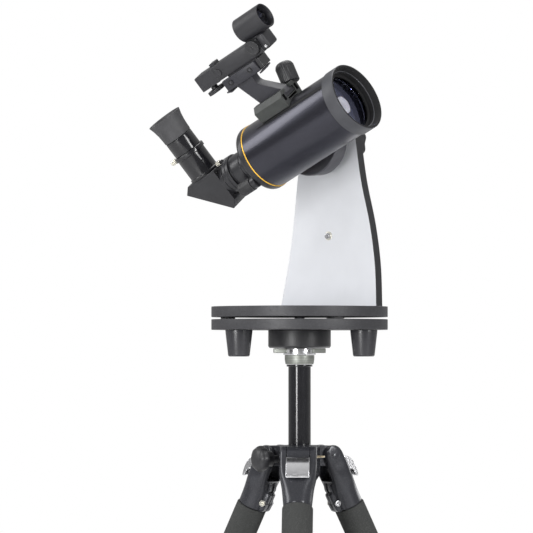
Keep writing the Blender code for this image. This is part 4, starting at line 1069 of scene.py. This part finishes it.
def build_bracket():
    side_frame = side_view_of(ROLLED)
    web = [
        (-0.0687, 0.048), (-0.105, 0.048), (-0.1065, 0.056, 0.006), (-0.1185, 0.088), (-0.0935, 0.088),
        (-0.0945, 0.0765, 0.012), (-0.0715, 0.0556, 0.004),
    ]
    plate("bracket_web", softened(web, 0.0008), 0.015, side_frame, "telescope", "bracket_plastic",
          ["finder_bracket"], 0.0009)
    block("bracket_dovetail", (0.0405, 0.0242, 0.006), inside(ROLLED, (-0.08975, 0, 0.0474)), "telescope",
          "bracket_plastic", bevel=0.0004)
    jaws = block("bracket_jaws", (0.0515, 0.026, 0.0138), inside(ROLLED, (-0.1022, 0, 0.0937)), "telescope",
                 "bracket_plastic", bevel=0.001)
    carve(jaws, [cutting_block((0.08, 0.017, 0.02), inside(ROLLED, (-0.1022, 0, 0.101)))])
    for number, s in enumerate((0.087, 0.118), 1):
        at = inside(ROLLED, (-s, -0.013, 0.0944), (0, -1, 0), (1, 0, 0))
        socket_screw("jaw_screw_%d" % number, 0.0034, 0.0012, at, "telescope", "black_steel")
        rod("jaw_screw_tip_%d" % number, 0.0014, 0.0001, 0.0008, at, "telescope", "hub_metal",
            soften=0.0002, steps=24)
    # The jaws' front end block is given gloss black, darker than the bracket's plastic: painted shade on that
    # end.
    block("jaw_front_block", (0.0085, 0.02, 0.0128), inside(ROLLED, (-0.0745, 0, 0.0945)), "telescope",
          "gloss_black", bevel=0.0008)
    for end, start, step in (("front", -0.079, 1), ("rear", -0.1262, -1)):
        for number in range(3):
            x = start + step * 0.0024 * (2 - number)
            place = inside(ROLLED, (x, 0, 0.0862 - 0.0008 * number))
            block("jaw_%s_step_%d" % (end, number + 1), (0.0026, 0.02, 0.0018), place, "telescope",
                  "bracket_plastic", bevel=0.0003)


def build_finder():
    rear, front = -0.1575, -0.057
    middle = (FINDER_BOTTOM + FINDER_TOP) / 2
    window_height = FINDER_TOP + GAP + WINDOW_RADIUS
    window = inside(ROLLED, (0, 0, window_height), (1, 0, 0), (0, 0, 1))
    plastic = "finder_plastic"

    def box(name, size, place, bevel=0.0005, replaces=()):
        return block(name, size, inside(ROLLED, place), "telescope", plastic, replaces, bevel)

    body = box("finder_case", (front - rear, 0.021, FINDER_TOP - FINDER_BOTTOM),
               ((front + rear) / 2, 0, middle), 0.0012, ["finder_body"])
    carve(body, [cutting_rod(WINDOW_RADIUS + GAP, -0.08, -0.02, window)])
    box("finder_foot_rail", (0.045, 0.0164, 0.012), (-0.0965, 0, 0.0973))
    box("finder_throat", (0.012, 0.018, 0.014), (-0.054, 0, 0.111))
    lamp = box("finder_lamp_case", (0.01, 0.023, 0.0195), (-0.051, 0, 0.1127), 0.003)
    carve(lamp, [cutting_rod(WINDOW_RADIUS + GAP, -0.08, -0.02, window)])
    box("finder_saddle", (0.02, 0.015, 0.004), (-0.064, 0, 0.1206))
    box("finder_bump", (0.008, 0.012, 0.0046), (-0.129, 0, 0.1223), 0.0009)
    box("finder_rear_case", (0.0276, 0.0216, 0.0186), (-0.144, 0, 0.1112), 0.0009)
    hoop = [
        (WINDOW_RADIUS, -0.034), (WINDOW_RADIUS, -0.0728), (WINDOW_RADIUS - 0.0016, -0.0728),
        (WINDOW_RADIUS - 0.0016, -0.042), (WINDOW_RADIUS - 0.0022, -0.0415),
        (WINDOW_RADIUS - 0.0022, -0.04), (WINDOW_RADIUS - 0.0012, -0.034),
    ]
    turned("window_hoop", hoop, window, "telescope", plastic, ["window_tube"], 0.0003, 128)
    rod("window_pane", WINDOW_RADIUS - 0.0015, -0.044, -0.0428, window, "telescope", "lens_glass",
        soften=0.0001)
    build_finder_controls()


def build_finder_controls():
    dial = joint_frame("finder_switch_turn", FORWARD)
    profile = [
        (0, 0.004), (0.0012, 0.004), (0.0014, 0.0044), (0.002, 0.0044), (0.0022, 0.004), (0.0066, 0.0038),
        (0.007, 0.0042), (0.0086, 0.0042), (0.0089, 0.0036), (0.0089, GAP), (0, GAP),
    ]
    turned("brightness_dial", profile, dial, "finder_switch", "black_plastic", ["finder_dial"], 0.0002, 240,
           flutes(30, 0.0003, 0.0082, 0.0004, 0.0036))
    # A thin near-black ring round the dial's foot: painted shade where the dial meets the finder case.
    sleeve("dial_shade_ring", 0.01, 0.0091, 0.0004, -0.0002, dial, "telescope", "baffle_black_and_shade", (), 0.0001)
    wheel = inside(ROLLED, (-0.1475, 0, -0.0015))
    disc = [
        (0, 0.1023), (0.0042, 0.1023), (0.0042, 0.0992), (0.0108, 0.0992), (0.0108, 0.0948), (0, 0.0948),
    ]
    turned("elevation_wheel", disc, wheel, "telescope", "black_plastic", soften=0.0004, steps=264,
           wave=flutes(33, 0.0004, 0.01))
    boss = inside(ROLLED, (-0.126, -0.0105, 0.1116), (0, -1, 0), (1, 0, 0))
    rod("finder_boss", 0.0048, 0, 0.0012, boss, "telescope", "finder_plastic")
    socket_screw("lamp_screw", 0.0019, 0.001,
                 inside(ROLLED, (-0.0505, -0.0115, 0.107), (0, -1, 0), (1, 0, 0)), "telescope")


# ---- studio
CAMERA_DISTANCE = 4.64
CAMERA_ABOVE_HINGES = 0.111
CAMERA_PITCH, CAMERA_YAW = 91.339, 0.473
FOCAL_LENGTH = 270.2          # millimetres, on a 36 mm sensor


def area_light(name, place, target, size, power):
    light = bpy.data.lights.new(name, "AREA")
    light.shape = "RECTANGLE"
    light.size, light.size_y = size
    light.energy = power
    obj = in_scene(name, light)
    obj.location = place
    obj.rotation_euler = (Vector(target) - Vector(place)).to_track_quat("-Z", "Y").to_euler()


def build_world():
    """White backdrop for the camera; softer and darker towards the viewer for what the object reflects."""
    world = bpy.data.worlds.new("studio")
    bpy.context.scene.world = world
    world.use_nodes = True
    tree = world.node_tree
    seen = tree.nodes["Background"]
    seen.inputs["Color"].default_value = (1, 1, 1, 1)
    lit = tree.nodes.new("ShaderNodeBackground")
    where = tree.nodes.new("ShaderNodeTexCoord")
    split = tree.nodes.new("ShaderNodeSeparateXYZ")
    tree.links.new(where.outputs["Generated"], split.inputs["Vector"])
    behind = remap(tree, split.outputs["Y"], 0.27, 0.55, -0.55, 0.35)
    above = remap(tree, split.outputs["Z"], 0.0, 0.45, 0.35, 0.85)
    both = tree.nodes.new("ShaderNodeMath")
    tree.links.new(behind, both.inputs[0])
    tree.links.new(above, both.inputs[1])
    tree.links.new(both.outputs["Value"], lit.inputs["Strength"])
    path = tree.nodes.new("ShaderNodeLightPath")
    mix = tree.nodes.new("ShaderNodeMixShader")
    tree.links.new(path.outputs["Is Camera Ray"], mix.inputs["Fac"])
    tree.links.new(lit.outputs["Background"], mix.inputs[1])
    tree.links.new(seen.outputs["Background"], mix.inputs[2])
    tree.links.new(mix.outputs["Shader"], tree.nodes["World Output"].inputs["Surface"])


def build_studio():
    shape = bmesh.new()
    bmesh.ops.create_circle(shape, cap_ends=True, radius=2.6, segments=96)
    floor = in_scene("floor", finished(shape, "floor", 30))
    floor.data.materials.append(surface("floor_white", (0.66, 0.66, 0.66), 0.6, 0, 0.01, 4, 0.03, 200,
                                        0.00002))
    build_world()
    aim = (STAND_AXIS.x, STAND_AXIS.y, 0.8)
    area_light("left_softbox", (-2.6, 0.1, 1.75), aim, (0.9, 1.6), 26)
    area_light("front_strip", (-1.45, -2.55, 1.00), aim, (0.6, 1.9), 74)
    area_light("right_strip", (1.84, -1.77, 1.3), aim, (0.62, 1.4), 42)
    area_light("top_softbox", (0.0, 0.6, 3.0), aim, (1.8, 1.4), 36)
    area_light("floor_wash", (1.1, 1.3, 0.66), (1.1, 1.3, 0.0), (1.3, 1.3), 16)
    view_settings = bpy.context.scene.view_settings
    view_settings.view_transform = "Standard"
    camera = bpy.data.cameras.new("camera")
    camera.lens = FOCAL_LENGTH
    camera.sensor_width = 36.0
    viewer = in_scene("camera", camera)
    viewer.location = (STAND_AXIS.x, STAND_AXIS.y - CAMERA_DISTANCE, HINGE_HEIGHT + CAMERA_ABOVE_HINGES)
    viewer.rotation_euler = (radians(CAMERA_PITCH), 0, radians(CAMERA_YAW))
    bpy.context.scene.camera = viewer


BUILDERS = (
    build_tripod, build_column, build_head, build_base, build_turntable, build_altitude_bearing,
    build_front, build_tube, build_rear, build_focus_knob, build_diagonal, build_eyepiece, build_shoe,
    build_bracket, build_finder,
)
for build in BUILDERS:
    build()
dress("primary_mirror", "mirror_glass")
build_studio()
